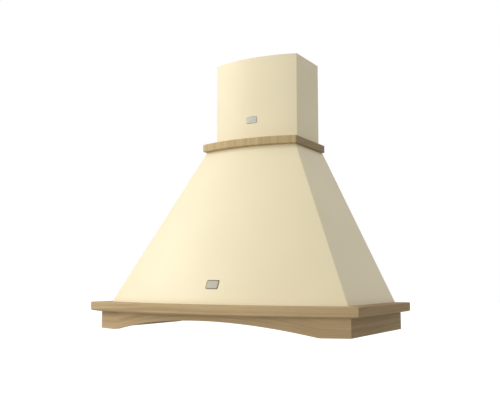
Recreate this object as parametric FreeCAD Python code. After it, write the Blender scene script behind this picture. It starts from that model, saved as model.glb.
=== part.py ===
"""A bow-fronted wall cooker hood: enamelled canopy and chimney with oak cornice, frieze and neck.

Millimetres. x runs to the right, y into the wall, z up. The wall is the plane y = 0 and the hood's
front points to -y. Heights below are counted from the frieze's lower edge; every piece is moved
down by FIXING_HEIGHT when it is saved, so the origin is the middle of the wall fixing line.
"""
import FreeCAD
import Part

import math
import os

V = FreeCAD.Vector
X_AXIS = V(1, 0, 0)
Y_AXIS = V(0, 1, 0)
Z_AXIS = V(0, 0, 1)

# ---------------------------------------------------------------- oak frieze and cornice
FRIEZE_WIDTH = 840.0
FRIEZE_SIDE_DEPTH = 410.0
FRIEZE_BOW = 80.0
FRIEZE_HEIGHT = 52.0
BOARD = 18.0
ARCH_RISE = 37.5
ARCH_RADIUS = 1560.0
ARCH_END_RADIUS = 60.0
CORNICE_PROJECTION = 30.0
CORNICE_HEIGHT = 30.0
CORNICE_UNDERCUT = 4.0
CORNICE_FOOT = 3.0
CORNICE_CORNER_RADIUS = 9.0
CORNICE_TOP_RADIUS = 5.0
WALL_CLEARANCE = 1.0

# ---------------------------------------------------------------- canopy, back panel and pan
SHEET = 1.2
CANOPY_FRONT_SETBACK = 32.5
CANOPY_TOP_HEIGHT = 570.0
CANOPY_TOP_WIDTH = 326.0
CANOPY_TOP_SIDE_DEPTH = 201.0
CANOPY_TOP_BOW = 27.6
SKIRT_BELOW_FRIEZE_TOP = 12.0
BACK_SHEET = 1.2
PAN_ABOVE_SKIRT = 16.0
PAN_SHEET = 1.0
PAN_RIM = 18.0

# ---------------------------------------------------------------- neck moulding and chimney
NECK_HEIGHT = 24.5
NECK_SIDE_OVERHANG = 8.5
NECK_FRONT_OVERHANG = 15.0
NECK_EDGE = 2.5
CHIMNEY_WIDTH = 300.7
CHIMNEY_SIDE_DEPTH = 162.4
CHIMNEY_BOW = 27.6
CHIMNEY_LENGTH = 300.0
CHIMNEY_SHEET = 1.0
CHIMNEY_FLANGE = 15.0
TELESCOPE_GAP = 1.0
TELESCOPE_DROP = 2.0
CHIMNEY_LEDGE = 8.0

# ---------------------------------------------------------------- wall fixing
FIXING_HEIGHT = 330.0
FIXING_SPACING = 300.0
FIXING_HOLE_RADIUS = 4.0
KEYHOLE_SPACING = 200.0
KEYHOLE_RISE = 70.0
KEYHOLE_HEAD_RADIUS = 6.0
KEYHOLE_SLOT_RADIUS = 3.0
KEYHOLE_LENGTH = 14.0
BRACKET_RISE = 60.0
BRACKET_HEIGHT = 30.0
BRACKET_HOLE_SPACING = 200.0
BRACKET_HOLE_RADIUS = 2.75
BRACKET_END_GAP = 2.0

# ---------------------------------------------------------------- grease filters
FILTER_WIDTH = 300.0
FILTER_DEPTH = 280.0
FILTER_HEIGHT = 9.0
FILTER_PROUD = 3.0
FILTER_FROM_WALL = 60.0
FILTER_MIDDLE_GAP = 12.0
FILTER_RAIL = 18.0
FILTER_LATCH_RAIL = 30.0
FILTER_LEDGE = 3.0
FILTER_LEDGE_HEIGHT = 2.0
FILTER_GAP = 1.5
FILTER_FRONT_GAP = 2.5
LUG_WIDTH = 20.0
LUG_REACH = 8.0
LUG_THICKNESS = 1.6
LUG_GAP = 0.3
LUG_INSET = 40.0
MESH_THICKNESS = 2.0
MESH_COLUMNS = 6
MESH_ROWS = 6
MESH_STRAND = 8.0
LATCH_WIDTH = 50.0
LATCH_LENGTH = 20.0
LATCH_THICKNESS = 3.2
LATCH_TRAVEL = 5.0
LATCH_GAP = 0.4
LATCH_NOSE = 1.0
LATCH_LIP = 3.0
LATCH_LIP_DEPTH = 2.5

# ---------------------------------------------------------------- lamps
LAMP_X = 215.0
LAMP_FROM_FRONT = 48.5
LAMP_LENGTH = 96.0
LAMP_DEPTH = 46.0
LAMP_LIP = 7.0
LAMP_CORNER = 5.0
LAMP_BEZEL_THICKNESS = 2.5
LAMP_LENS_PROUD = 2.0
LAMP_LENS_THICKNESS = 1.5
LAMP_WALL = 1.5
LAMP_HOUSING_HEIGHT = 38.0

# ---------------------------------------------------------------- controls
CONTROL_FROM_FRONT = 55.5
CONTROL_LENGTH = 172.0
CONTROL_DEPTH = 34.0
CONTROL_THICKNESS = 3.0
CONTROL_CORNER = 6.0
BUTTON_COUNT = 5
BUTTON_PITCH = 30.0
BUTTON_SIZE = 16.0
BUTTON_BEVEL = 1.2
BUTTON_PROUD = 5.0
BUTTON_GAP = 0.4
BUTTON_FLANGE = 1.5
BUTTON_FLANGE_THICKNESS = 1.5
BUTTON_REST_GAP = 0.3
SWITCH_BOX_LENGTH = 156.0
SWITCH_BOX_DEPTH = 26.0
SWITCH_BOX_HEIGHT = 26.0
SWITCH_BOX_WALL = 2.0

# ---------------------------------------------------------------- blower
AXIS_HEIGHT = 205.0
DUCT_Y = -90.0
IMPELLER_RADIUS = 80.0
IMPELLER_HALF_WIDTH = 50.0
BLADE_COUNT = 20
BLADE_DEPTH = 13.0
BLADE_SHEET = 1.2
BLADE_LEAD_DEGREES = 8.0
BLADE_BEND = 0.3
BLADE_SEAT = 2.0
IMPELLER_RING = 3.0
IMPELLER_DISC = 3.0
HUB_RADIUS = 11.0
HUB_LENGTH = 24.0
SHAFT_RADIUS = 4.0
SHAFT_OVERHANG = 8.0
SCROLL_GAP = 9.0
SCROLL_STEP = 12.0
SCROLL_WALL = 2.0
SCROLL_SIDE_GAP = 8.0
SCROLL_EAR = 10.0
SCROLL_EAR_THICKNESS = 2.5
SCROLL_EAR_DEGREES = (150.0, 225.0)
TONGUE_RADIUS = 9.0
TONGUE_FORWARD = 22.0
OUTLET_RISE = 118.0
INLET_RADIUS = 58.0
GUARD_THICKNESS = 2.0
GUARD_MARGIN = 12.0
GUARD_BARS = 8
GUARD_BAR = 3.5
MOTOR_RADIUS = 38.0
MOTOR_LENGTH = 56.0
MOTOR_NOSE_RADIUS = 18.0
MOTOR_NOSE_LENGTH = 8.0
MOTOR_HUB_GAP = 4.0
MOTOR_RING = 8.0
ARM_WIDTH = 14.0
ARM_COUNT = 3
BEARING_CLEARANCE = 0.05
HANGER_SHEET = 2.0
HANGER_FLANGE = 22.0
HANGER_BELOW = 88.0
HANGER_ABOVE = 96.0
HANGER_REACH = 48.0

# ---------------------------------------------------------------- outlet collar and flaps
COLLAR_RADIUS = 75.0
COLLAR_WALL = 1.5
COLLAR_LENGTH = 70.0
COLLAR_WALL_GAP = 2.0
COLLAR_FLANGE = 8.0
COLLAR_FLANGE_THICKNESS = 2.0
FLAP_RISE = 8.0
FLAP_SHEET = 1.5
FLAP_EDGE_GAP = 1.0
FLAP_HINGE_OFFSET = 4.0
FLAP_PIN_RADIUS = 1.0
FLAP_BARREL_RADIUS = 2.6
FLAP_BARREL_INSET = 6.0

# ---------------------------------------------------------------- electrics
TERMINAL_X = -112.0
TERMINAL_WIDTH = 62.0
TERMINAL_DEPTH = 38.0
TERMINAL_HEIGHT = 70.0
TERMINAL_BASE = 420.0
TERMINAL_LID = 12.0
TERMINAL_SEAM = 1.0
GLAND_RADIUS = 11.0
GLAND_NECK_RADIUS = 8.0
GLAND_BORE_RADIUS = 4.5
GLAND_LENGTH = 20.0
GLAND_NUT = 7.0
CAPACITOR_X = 120.0
CAPACITOR_RADIUS = 16.0
CAPACITOR_LENGTH = 60.0
CAPACITOR_BASE = 330.0
CAPACITOR_FOOT = 3.0

# ---------------------------------------------------------------- blocks, plates and screws
CORNER_BLOCK = 34.0
CORNER_BLOCK_BELOW = 6.0
SPACER_WIDTH = 44.0
SPACER_X = 240.0
CANOPY_PLATE_WIDTH = 43.0
CANOPY_PLATE_HEIGHT = 28.0
CANOPY_PLATE_RISE = 55.5
CANOPY_PLATE_X = 8.0
CHIMNEY_PLATE_WIDTH = 39.5
CHIMNEY_PLATE_HEIGHT = 25.0
CHIMNEY_PLATE_RISE = 82.0
PLATE_THICKNESS = 1.4
PLATE_CORNER = 2.5
SCREW_RADIUS = 2.0
SCREW_HEAD_RADIUS = 4.0
SCREW_HEAD = 2.2
SCREW_IN_OAK = 12.0
SCREW_SEAT_GAP = 0.02
SIDE_SCREW_WALL_DISTANCES = (110.0, 300.0)
SCROLL_SCREW_RADIUS = 1.6

# ---------------------------------------------------------------- places worked out from the sizes
CORNICE_BASE = FRIEZE_HEIGHT
CANOPY_BASE = CORNICE_BASE + CORNICE_HEIGHT
SKIRT_BASE = FRIEZE_HEIGHT - SKIRT_BELOW_FRIEZE_TOP
PAN_Z = SKIRT_BASE + PAN_ABOVE_SKIRT
NECK_TOP = CANOPY_TOP_HEIGHT + NECK_HEIGHT
CHIMNEY_TOP = CANOPY_TOP_HEIGHT + CHIMNEY_LENGTH
FAR = 2000.0


# ================================================================ helpers
def box(x0, x1, y0, y1, z0, z1):
    """A block between two corners."""
    return Part.makeBox(x1 - x0, y1 - y0, z1 - z0, V(x0, y0, z0))


def rod(foot, axis, radius, length):
    """A round bar that starts at foot and runs along axis."""
    return Part.makeCylinder(radius, length, foot, axis)


def hexagon(foot, axis, radius, height):
    """A six-sided bar, as a screw head or nut, radius measured to its corners."""
    across = axis.cross(Z_AXIS if abs(axis.z) < 0.5 else X_AXIS)
    across.normalize()
    up = axis.cross(across)
    turns = [math.radians(60 * i) for i in range(7)]
    points = [foot + across * radius * math.cos(t) + up * radius * math.sin(t) for t in turns]
    return Part.Face(Part.makePolygon(points)).extrude(axis * height)


def tube(foot, axis, outer, inner, length):
    """A round bar with a bore."""
    return rod(foot, axis, outer, length).cut(rod(foot, axis, inner, length))


def rounded_box(x0, x1, y0, y1, z0, z1, radius, axis):
    """A block whose edges along axis are rounded."""
    block = box(x0, x1, y0, y1, z0, z1)
    edges = [e for e in block.Edges if abs(e.tangentAt(e.FirstParameter).dot(axis)) > 0.9]
    return block.makeFillet(radius, edges)


def fused(shapes):
    """One solid from several that touch or cross."""
    shapes = list(shapes)
    return shapes[0].multiFuse(shapes[1:]).removeSplitter()


def mirrored(shape):
    """The same piece on the other side of the middle plane x = 0."""
    return shape.mirror(V(0, 0, 0), X_AXIS)


def edges_at(shape, test):
    """The edges whose every sampled point passes the test."""
    found = []
    for edge in shape.Edges:
        points = edge.discretize(5)
        if all(test(p) for p in points):
            found.append(edge)
    return found


class Plan:
    """A bow-fronted outline: straight sides square to the wall, joined by one round front."""

    def __init__(self, half, centre, radius):
        self.half = half
        self.centre = centre
        self.radius = radius

    @classmethod
    def from_bow(cls, width, side_depth, bow):
        """The outline with this width, this depth at its sides and this much more in the middle."""
        half = width / 2
        radius = (half * half + bow * bow) / (2 * bow)
        return cls(half, radius - side_depth - bow, radius)

    def grown(self, sides, front=None):
        """The outline moved outwards, by one distance or by its own at the sides and the front."""
        return Plan(self.half + sides, self.centre, self.radius + (sides if front is None else front))

    def front(self, x=0.0):
        """y of the round front at x."""
        return self.centre - math.sqrt(self.radius ** 2 - x * x)

    def corner(self, z=0.0):
        """The right front corner."""
        return V(self.half, self.front(self.half), z)

    def wire(self, z, back):
        """The closed outline at height z, ending at y = back."""
        right = self.corner(z)
        left = V(-right.x, right.y, z)
        middle = V(0, self.front(), z)
        back_left = V(left.x, back, z)
        back_right = V(right.x, back, z)
        return Part.Wire([
            Part.makeLine(back_left, left),
            Part.Arc(left, middle, right).toShape(),
            Part.makeLine(right, back_right),
            Part.makeLine(back_right, back_left),
        ])

    def prism(self, z0, z1, back):
        """The upright block over the outline."""
        return Part.Face(self.wire(z0, back)).extrude(V(0, 0, z1 - z0))


def ruled(low, low_z, high, high_z, back):
    """The block between two outlines: flat sides, and a front of straight lines from arc to arc."""
    poles, weights = [], []
    for sign in (-1, 0, 1):
        row, row_weights = [], []
        for plan, z in ((low, low_z), (high, high_z)):
            half_angle = math.asin(plan.half / plan.radius)
            apex = V(0, plan.centre - plan.radius / math.cos(half_angle), z)
            row.append(V(sign * plan.half, plan.corner().y, z) if sign else apex)
            row_weights.append(1.0 if sign else math.cos(half_angle))
        poles.append(row)
        weights.append(row_weights)
    surface = Part.BSplineSurface()
    surface.buildFromPolesMultsKnots(poles, [3, 3], [2, 2], [0, 1], [0, 1], False, False, 2, 1, weights)
    front = surface.toShape()
    arcs = {z: e for z in (low_z, high_z) for e in front.Edges
            if all(abs(v.Z - z) < 1e-6 for v in e.Vertexes)}
    backs = {z: (V(-plan.half, back, z), V(plan.half, back, z)) for plan, z in ((low, low_z), (high, high_z))}
    faces = [front]
    for plan, z in ((low, low_z), (high, high_z)):
        left, right = backs[z]
        corner = plan.corner(z)
        faces.append(Part.Face(Part.Wire([
            arcs[z], Part.makeLine(corner, right), Part.makeLine(right, left),
            Part.makeLine(left, V(-corner.x, corner.y, z))])))
    for i, sign in ((0, -1), (1, 1)):
        foot, top = low.corner(low_z), high.corner(high_z)
        faces.append(Part.Face(Part.makePolygon([
            backs[low_z][i], V(sign * foot.x, foot.y, low_z), V(sign * top.x, top.y, high_z),
            backs[high_z][i], backs[low_z][i]])))
    faces.append(Part.Face(Part.makePolygon([
        backs[low_z][0], backs[low_z][1], backs[high_z][1], backs[high_z][0], backs[low_z][0]])))
    shell = Part.makeShell(faces)
    shell.sewShape()
    block = Part.makeSolid(shell)
    if block.Volume < 0:
        block.reverse()
    return block


def mitred(ring, outer, inner):
    """A three-sided ring cut at its front corners into front, left and right pieces."""
    line = outer - inner
    line.normalize()
    beyond = outer + line * CORNICE_PROJECTION * 2
    within = inner - line * BOARD
    wedge = Part.Face(Part.makePolygon([
        V(-beyond.x, beyond.y, 0), V(-within.x, within.y, 0), V(within.x, within.y, 0),
        V(beyond.x, beyond.y, 0), V(beyond.x, beyond.y - FAR, 0), V(-beyond.x, beyond.y - FAR, 0),
        V(-beyond.x, beyond.y, 0),
    ])).extrude(V(0, 0, FAR))
    front = ring.common(wedge)
    left, right = sorted(ring.cut(wedge).Solids, key=lambda s: s.CenterOfMass.x)
    return front.Solids[0], left, right


FRIEZE = Plan.from_bow(FRIEZE_WIDTH, FRIEZE_SIDE_DEPTH, FRIEZE_BOW)
CANOPY_LOW = FRIEZE.grown(-BOARD, -CANOPY_FRONT_SETBACK)
CANOPY_HIGH = Plan.from_bow(CANOPY_TOP_WIDTH, CANOPY_TOP_SIDE_DEPTH, CANOPY_TOP_BOW)
CHIMNEY = Plan.from_bow(CHIMNEY_WIDTH, CHIMNEY_SIDE_DEPTH, CHIMNEY_BOW)
LAMP_Y = CANOPY_LOW.front(LAMP_X) + LAMP_FROM_FRONT
CONTROL_Y = CANOPY_LOW.front() + CONTROL_FROM_FRONT


# ================================================================ oak
def arch():
    """What the arch takes out of the front board: one long arc with a soft turn at each end."""
    low = ARCH_RISE - ARCH_RADIUS
    reach = ARCH_RADIUS + ARCH_END_RADIUS
    end_x = math.sqrt(ARCH_RISE * (2 * reach - ARCH_RISE))
    share = ARCH_RADIUS / reach
    join_x = end_x * share
    join_z = low + (ARCH_END_RADIUS - low) * share
    turn = math.asin(end_x / reach) / 2
    soft_x = end_x - ARCH_END_RADIUS * math.sin(turn)
    soft_z = ARCH_END_RADIUS * (1 - math.cos(turn))
    left, right = V(-end_x, 0, 0), V(end_x, 0, 0)
    down = V(0, 0, -FRIEZE_HEIGHT)
    face = Part.Face(Part.Wire([
        Part.Arc(left, V(-soft_x, 0, soft_z), V(-join_x, 0, join_z)).toShape(),
        Part.Arc(V(-join_x, 0, join_z), V(0, 0, ARCH_RISE), V(join_x, 0, join_z)).toShape(),
        Part.Arc(V(join_x, 0, join_z), V(soft_x, 0, soft_z), right).toShape(),
        Part.makeLine(right, right + down),
        Part.makeLine(right + down, left + down),
        Part.makeLine(left + down, left),
    ]))
    return face.extrude(V(0, -FAR, 0))


def make_frieze():
    """Three upright boards round the skirt, the front one arched."""
    inside = FRIEZE.grown(-BOARD)
    ring = FRIEZE.prism(0, FRIEZE_HEIGHT, -WALL_CLEARANCE).cut(
        inside.prism(-1, FRIEZE_HEIGHT + 1, BOARD))
    front, left, right = mitred(ring, FRIEZE.corner(), inside.corner())
    return front.cut(arch()), left, right


def make_cornice():
    """A moulding on the boards: nearly square, its underside rising a little outwards."""
    outer = FRIEZE.grown(CORNICE_PROJECTION)
    foot = FRIEZE.grown(CORNICE_FOOT)
    nose = CORNICE_BASE + CORNICE_UNDERCUT
    body = outer.prism(nose, CANOPY_BASE, -WALL_CLEARANCE).fuse(
        ruled(foot, CORNICE_BASE, outer, nose, -WALL_CLEARANCE)).removeSplitter()
    corner = outer.corner()
    upright = edges_at(body, lambda p: math.hypot(abs(p.x) - corner.x, p.y - corner.y) < 0.1
                       and p.z > nose - 0.1)
    body = body.makeFillet(CORNICE_CORNER_RADIUS, upright)
    top = edges_at(body, lambda p: p.z > CANOPY_BASE - 0.01 and p.y < -WALL_CLEARANCE - 0.01
                   or p.z > CANOPY_BASE - 0.01 and abs(p.x) > corner.x - 0.01)
    body = body.makeFillet(CORNICE_TOP_RADIUS, top)
    body = body.cut(CANOPY_LOW.prism(0, CANOPY_TOP_HEIGHT, BOARD))
    return mitred(body, corner, CANOPY_LOW.corner())


def make_neck_moulding():
    """The oak ledge round the foot of the chimney, on the canopy's top, its edges eased."""
    outer = CANOPY_HIGH.grown(NECK_SIDE_OVERHANG, NECK_FRONT_OVERHANG)
    body = outer.prism(CANOPY_TOP_HEIGHT, NECK_TOP, -WALL_CLEARANCE)
    rims = edges_at(body, lambda p: (p.z > NECK_TOP - 0.01 or p.z < CANOPY_TOP_HEIGHT + 0.01)
                    and (abs(p.x) > outer.half - 0.01 or p.y < -WALL_CLEARANCE - 0.01))
    body = body.makeChamfer(NECK_EDGE, rims)
    body = body.cut(CHIMNEY.prism(0, CHIMNEY_TOP, BOARD))
    return mitred(body, outer.corner(), CHIMNEY.corner())


def corner_blocks():
    """Glue blocks in the two front corners behind the frieze."""
    inside = FRIEZE.grown(-BOARD)
    top = SKIRT_BASE - CORNER_BLOCK_BELOW
    corner = inside.corner(0)
    prism = Part.Face(Part.makePolygon([
        V(corner.x, corner.y + CORNER_BLOCK, 0), V(corner.x, corner.y - BOARD, 0),
        V(corner.x - CORNER_BLOCK, corner.y - BOARD, 0),
        V(corner.x - CORNER_BLOCK, corner.y - BOARD / 2, 0),
        V(corner.x, corner.y + CORNER_BLOCK, 0),
    ])).extrude(V(0, 0, FRIEZE_HEIGHT))
    block = prism.common(inside.prism(CORNER_BLOCK_BELOW, top, 0))
    return Part.Compound([block, mirrored(block)])


def front_spacers():
    """Wooden packers that fill the gap between the steel skirt and the front board."""
    ring = FRIEZE.grown(-BOARD).prism(SKIRT_BASE, FRIEZE_HEIGHT, 0).cut(CANOPY_LOW.prism(0, FRIEZE_HEIGHT, 0))
    blocks = []
    for x in (-SPACER_X, 0.0, SPACER_X):
        blocks.append(ring.common(box(x - SPACER_WIDTH / 2, x + SPACER_WIDTH / 2, -FAR, CANOPY_LOW.corner().y,
                                      0, FRIEZE_HEIGHT)))
    return Part.Compound(blocks)


# ================================================================ sheet metal
def canopy_outside():
    """The canopy's outer form, skirt and slope."""
    skirt = CANOPY_LOW.prism(SKIRT_BASE, CANOPY_BASE, -BACK_SHEET)
    return skirt.fuse(ruled(CANOPY_LOW, CANOPY_BASE, CANOPY_HIGH, CANOPY_TOP_HEIGHT, -BACK_SHEET))


def canopy_shell():
    """Skirt, sloping sides and bowed front, and a top plate open for the duct."""
    low, high = CANOPY_LOW.grown(-SHEET), CANOPY_HIGH.grown(-SHEET)
    hollow = low.prism(SKIRT_BASE - 1, CANOPY_BASE, SHEET).fuse(
        ruled(low, CANOPY_BASE, high, CANOPY_TOP_HEIGHT, SHEET))
    outside = canopy_outside()
    shell = outside.cut(hollow)
    plate = outside.common(box(-FAR, FAR, -FAR, 0, CANOPY_TOP_HEIGHT - SHEET, CANOPY_TOP_HEIGHT))
    opening = CHIMNEY.grown(-CHIMNEY_LEDGE).prism(0, CHIMNEY_TOP, SHEET)
    return shell.fuse(plate.cut(opening)).removeSplitter()


def keyhole(x, z):
    """A hanging hole: a round head below a narrow slot."""
    deep = BACK_SHEET * 3
    foot = V(x, -deep, z)
    slot = box(x - KEYHOLE_SLOT_RADIUS, x + KEYHOLE_SLOT_RADIUS, -deep, deep, z, z + KEYHOLE_LENGTH)
    top = rod(foot + V(0, 0, KEYHOLE_LENGTH), Y_AXIS, KEYHOLE_SLOT_RADIUS, 2 * deep)
    return rod(foot, Y_AXIS, KEYHOLE_HEAD_RADIUS, 2 * deep).fuse([slot, top])


def back_panel():
    """The steel back that hangs on the wall, with hanging holes and two fixing holes."""
    low, high = CANOPY_LOW.half, CANOPY_HIGH.half
    panel = Part.Face(Part.makePolygon([
        V(-low, 0, SKIRT_BASE), V(low, 0, SKIRT_BASE), V(low, 0, CANOPY_BASE),
        V(high, 0, CANOPY_TOP_HEIGHT), V(-high, 0, CANOPY_TOP_HEIGHT), V(-low, 0, CANOPY_BASE),
        V(-low, 0, SKIRT_BASE),
    ])).extrude(V(0, -BACK_SHEET, 0))
    for side in (-1, 1):
        foot = V(side * FIXING_SPACING / 2, -BACK_SHEET * 2, FIXING_HEIGHT)
        panel = panel.cut(rod(foot, Y_AXIS, FIXING_HOLE_RADIUS, BACK_SHEET * 3))
        panel = panel.cut(keyhole(side * KEYHOLE_SPACING / 2, FIXING_HEIGHT + KEYHOLE_RISE))
    return panel


def filter_bounds(side):
    """x0, x1, y0, y1 of the filter on one side."""
    inner = FILTER_MIDDLE_GAP / 2
    xs = sorted((side * inner, side * (inner + FILTER_WIDTH)))
    return xs[0], xs[1], -FILTER_FROM_WALL - FILTER_DEPTH, -FILTER_FROM_WALL


def underside_pan():
    """The tray that closes the canopy below and carries filters, lamps and controls."""
    plan = CANOPY_LOW.grown(-SHEET)
    pan = plan.prism(PAN_Z, PAN_Z + PAN_RIM, -BACK_SHEET).cut(
        plan.grown(-PAN_SHEET).prism(PAN_Z + PAN_SHEET, PAN_Z + PAN_RIM + 1, -BACK_SHEET - PAN_SHEET))
    for side in (-1, 1):
        x0, x1, y0, y1 = filter_bounds(side)
        pan = pan.cut(box(x0 - FILTER_GAP, x1 + FILTER_GAP, y0 - FILTER_FRONT_GAP, y1 + FILTER_GAP,
                          PAN_Z - 1, PAN_Z + PAN_SHEET + 1))
        pan = pan.cut(box(side * LAMP_X - LAMP_LENGTH / 2, side * LAMP_X + LAMP_LENGTH / 2,
                          LAMP_Y - LAMP_DEPTH / 2, LAMP_Y + LAMP_DEPTH / 2, PAN_Z - 1, PAN_Z + PAN_SHEET + 1))
    half_x, half_y = SWITCH_BOX_LENGTH / 2, SWITCH_BOX_DEPTH / 2
    return pan.cut(box(-half_x, half_x, CONTROL_Y - half_y, CONTROL_Y + half_y, PAN_Z - 1, PAN_Z + PAN_SHEET + 1))


def channel(plan, back, z0, z1):
    """A bow-fronted sheet channel with two narrow flanges against the wall."""
    inside = plan.grown(-CHIMNEY_SHEET)
    wall = plan.prism(z0, z1, back).cut(inside.prism(z0 - 1, z1 + 1, back - CHIMNEY_SHEET))
    slot = plan.half - CHIMNEY_FLANGE
    return wall.cut(box(-slot, slot, back - 2 * CHIMNEY_SHEET, 1, z0 - 1, z1 + 1))


def chimney_lower():
    """The fixed cover, standing on the canopy's top plate."""
    return channel(CHIMNEY, -BACK_SHEET, CANOPY_TOP_HEIGHT, CHIMNEY_TOP)


def chimney_upper():
    """The sliding cover, let down inside the fixed one."""
    inner = CHIMNEY.grown(-CHIMNEY_SHEET - TELESCOPE_GAP)
    back = -BACK_SHEET - CHIMNEY_SHEET - TELESCOPE_GAP
    return channel(inner, back, CANOPY_TOP_HEIGHT, CHIMNEY_TOP - TELESCOPE_DROP)


def chimney_bracket():
    """The strip on the wall that the lower cover's flanges sit against."""
    half = CHIMNEY.half - BRACKET_END_GAP
    z0 = CANOPY_TOP_HEIGHT + BRACKET_RISE
    strip = box(-half, half, -BACK_SHEET, 0, z0, z0 + BRACKET_HEIGHT)
    for side in (-1, 1):
        foot = V(side * BRACKET_HOLE_SPACING / 2, -BACK_SHEET * 2, z0 + BRACKET_HEIGHT / 2)
        strip = strip.cut(rod(foot, Y_AXIS, BRACKET_HOLE_RADIUS, BACK_SHEET * 3))
    return strip


# ================================================================ grease filters
def filter_frame(side):
    """A cassette frame with a ledge for the mesh, two rear lugs and a pocket for its latch."""
    x0, x1, y0, y1 = filter_bounds(side)
    z0 = PAN_Z - FILTER_PROUD
    z1 = z0 + FILTER_HEIGHT
    frame = rounded_box(x0, x1, y0, y1, z0, z1, FILTER_GAP * 2, Z_AXIS)
    frame = frame.cut(box(x0 + FILTER_RAIL, x1 - FILTER_RAIL, y0 + FILTER_LATCH_RAIL, y1 - FILTER_RAIL, z0, z1))
    seat = FILTER_RAIL - FILTER_LEDGE
    frame = frame.cut(box(x0 + seat, x1 - seat, y0 + FILTER_LATCH_RAIL - FILTER_LEDGE, y1 - seat,
                          z0 + FILTER_LEDGE_HEIGHT, z1))
    middle = (x0 + x1) / 2
    half = LATCH_WIDTH / 2 + LATCH_GAP
    frame = frame.cut(box(middle - half, middle + half, y0, y0 + LATCH_LENGTH + LATCH_TRAVEL + LATCH_GAP,
                          z0, z0 + LATCH_THICKNESS + LATCH_GAP))
    lug_z = PAN_Z + PAN_SHEET + LUG_GAP
    for x in (x0 + LUG_INSET, x1 - LUG_INSET):
        frame = frame.fuse(box(x - LUG_WIDTH / 2, x + LUG_WIDTH / 2, y1 - LUG_REACH, y1 + LUG_REACH,
                               lug_z, lug_z + LUG_THICKNESS))
    return frame.removeSplitter()


def filter_mesh(side):
    """The grease mesh: a plate pierced by rows of lozenges, held on the frame's ledge."""
    x0, x1, y0, y1 = filter_bounds(side)
    seat = FILTER_RAIL - FILTER_LEDGE
    x0, x1 = x0 + seat, x1 - seat
    y0, y1 = y0 + FILTER_LATCH_RAIL - FILTER_LEDGE, y1 - seat
    z0 = PAN_Z - FILTER_PROUD + FILTER_LEDGE_HEIGHT
    step_x = (x1 - x0 - 2 * FILTER_LEDGE) / MESH_COLUMNS
    step_y = (y1 - y0 - 2 * FILTER_LEDGE) / MESH_ROWS
    half_x, half_y = (step_x - MESH_STRAND) / 2, (step_y - MESH_STRAND) / 2
    holes = []
    for column in range(MESH_COLUMNS):
        for row in range(MESH_ROWS):
            x = x0 + FILTER_LEDGE + (column + 0.5) * step_x
            y = y0 + FILTER_LEDGE + (row + 0.5) * step_y
            holes.append(Part.makePolygon([
                V(x - half_x, y, z0), V(x, y - half_y, z0), V(x + half_x, y, z0), V(x, y + half_y, z0),
                V(x - half_x, y, z0)]))
    rim = Part.makePolygon([V(x0, y0, z0), V(x1, y0, z0), V(x1, y1, z0), V(x0, y1, z0), V(x0, y0, z0)])
    return Part.makeFace([rim] + holes, "Part::FaceMakerCheese").extrude(V(0, 0, MESH_THICKNESS))


def filter_latch(side):
    """The spring slide in the front rail, with a finger lip below and its nose towards the pan."""
    x0, x1, y0, _ = filter_bounds(side)
    middle, half = (x0 + x1) / 2, LATCH_WIDTH / 2
    z0 = PAN_Z - FILTER_PROUD
    slide = box(middle - half, middle + half, y0, y0 + LATCH_LENGTH, z0, z0 + LATCH_THICKNESS)
    nose = box(middle - half / 2, middle + half / 2, y0 - LATCH_NOSE, y0, z0, z0 + LATCH_THICKNESS)
    lip = box(middle - half + LATCH_LIP, middle + half - LATCH_LIP, y0 + LATCH_LENGTH - 2 * LATCH_LIP,
              y0 + LATCH_LENGTH - LATCH_LIP, z0 - LATCH_LIP_DEPTH, z0)
    return fused([slide, nose, lip])


# ================================================================ lamps
def lamp(side):
    """Bezel, lens and housing of one recessed lamp."""
    x, y = side * LAMP_X, LAMP_Y
    half_x, half_y = LAMP_LENGTH / 2, LAMP_DEPTH / 2
    low, lip = PAN_Z - LAMP_BEZEL_THICKNESS, LAMP_LIP
    bezel = rounded_box(x - half_x - lip, x + half_x + lip, y - half_y - lip, y + half_y + lip, low, PAN_Z,
                        LAMP_CORNER, Z_AXIS)
    lens = box(x - half_x, x + half_x, y - half_y, y + half_y, low - LAMP_LENS_PROUD, low + LAMP_LENS_THICKNESS)
    bezel = bezel.cut(lens)
    lens = lens.makeChamfer(LAMP_LENS_PROUD, edges_at(lens, lambda p: p.z < low - LAMP_LENS_PROUD + 0.01))
    wall = LAMP_WALL
    top = PAN_Z + LAMP_HOUSING_HEIGHT
    housing = box(x - half_x, x + half_x, y - half_y, y + half_y, PAN_Z, top)
    housing = housing.cut(box(x - half_x + wall, x + half_x - wall, y - half_y + wall, y + half_y - wall,
                              PAN_Z - 1, top - wall))
    return bezel, lens, housing


# ================================================================ controls
def button_places():
    """x of each button."""
    first = -(BUTTON_COUNT - 1) / 2 * BUTTON_PITCH
    return [first + i * BUTTON_PITCH for i in range(BUTTON_COUNT)]


def control_bezel():
    """The plate under the pan that guides the buttons."""
    half_x, half_y = CONTROL_LENGTH / 2, CONTROL_DEPTH / 2
    plate = rounded_box(-half_x, half_x, CONTROL_Y - half_y, CONTROL_Y + half_y,
                        PAN_Z - CONTROL_THICKNESS, PAN_Z, CONTROL_CORNER, Z_AXIS)
    half = BUTTON_SIZE / 2 + BUTTON_GAP
    for x in button_places():
        plate = plate.cut(box(x - half, x + half, CONTROL_Y - half, CONTROL_Y + half,
                              PAN_Z - CONTROL_THICKNESS - 1, PAN_Z + 1))
    return plate


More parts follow.
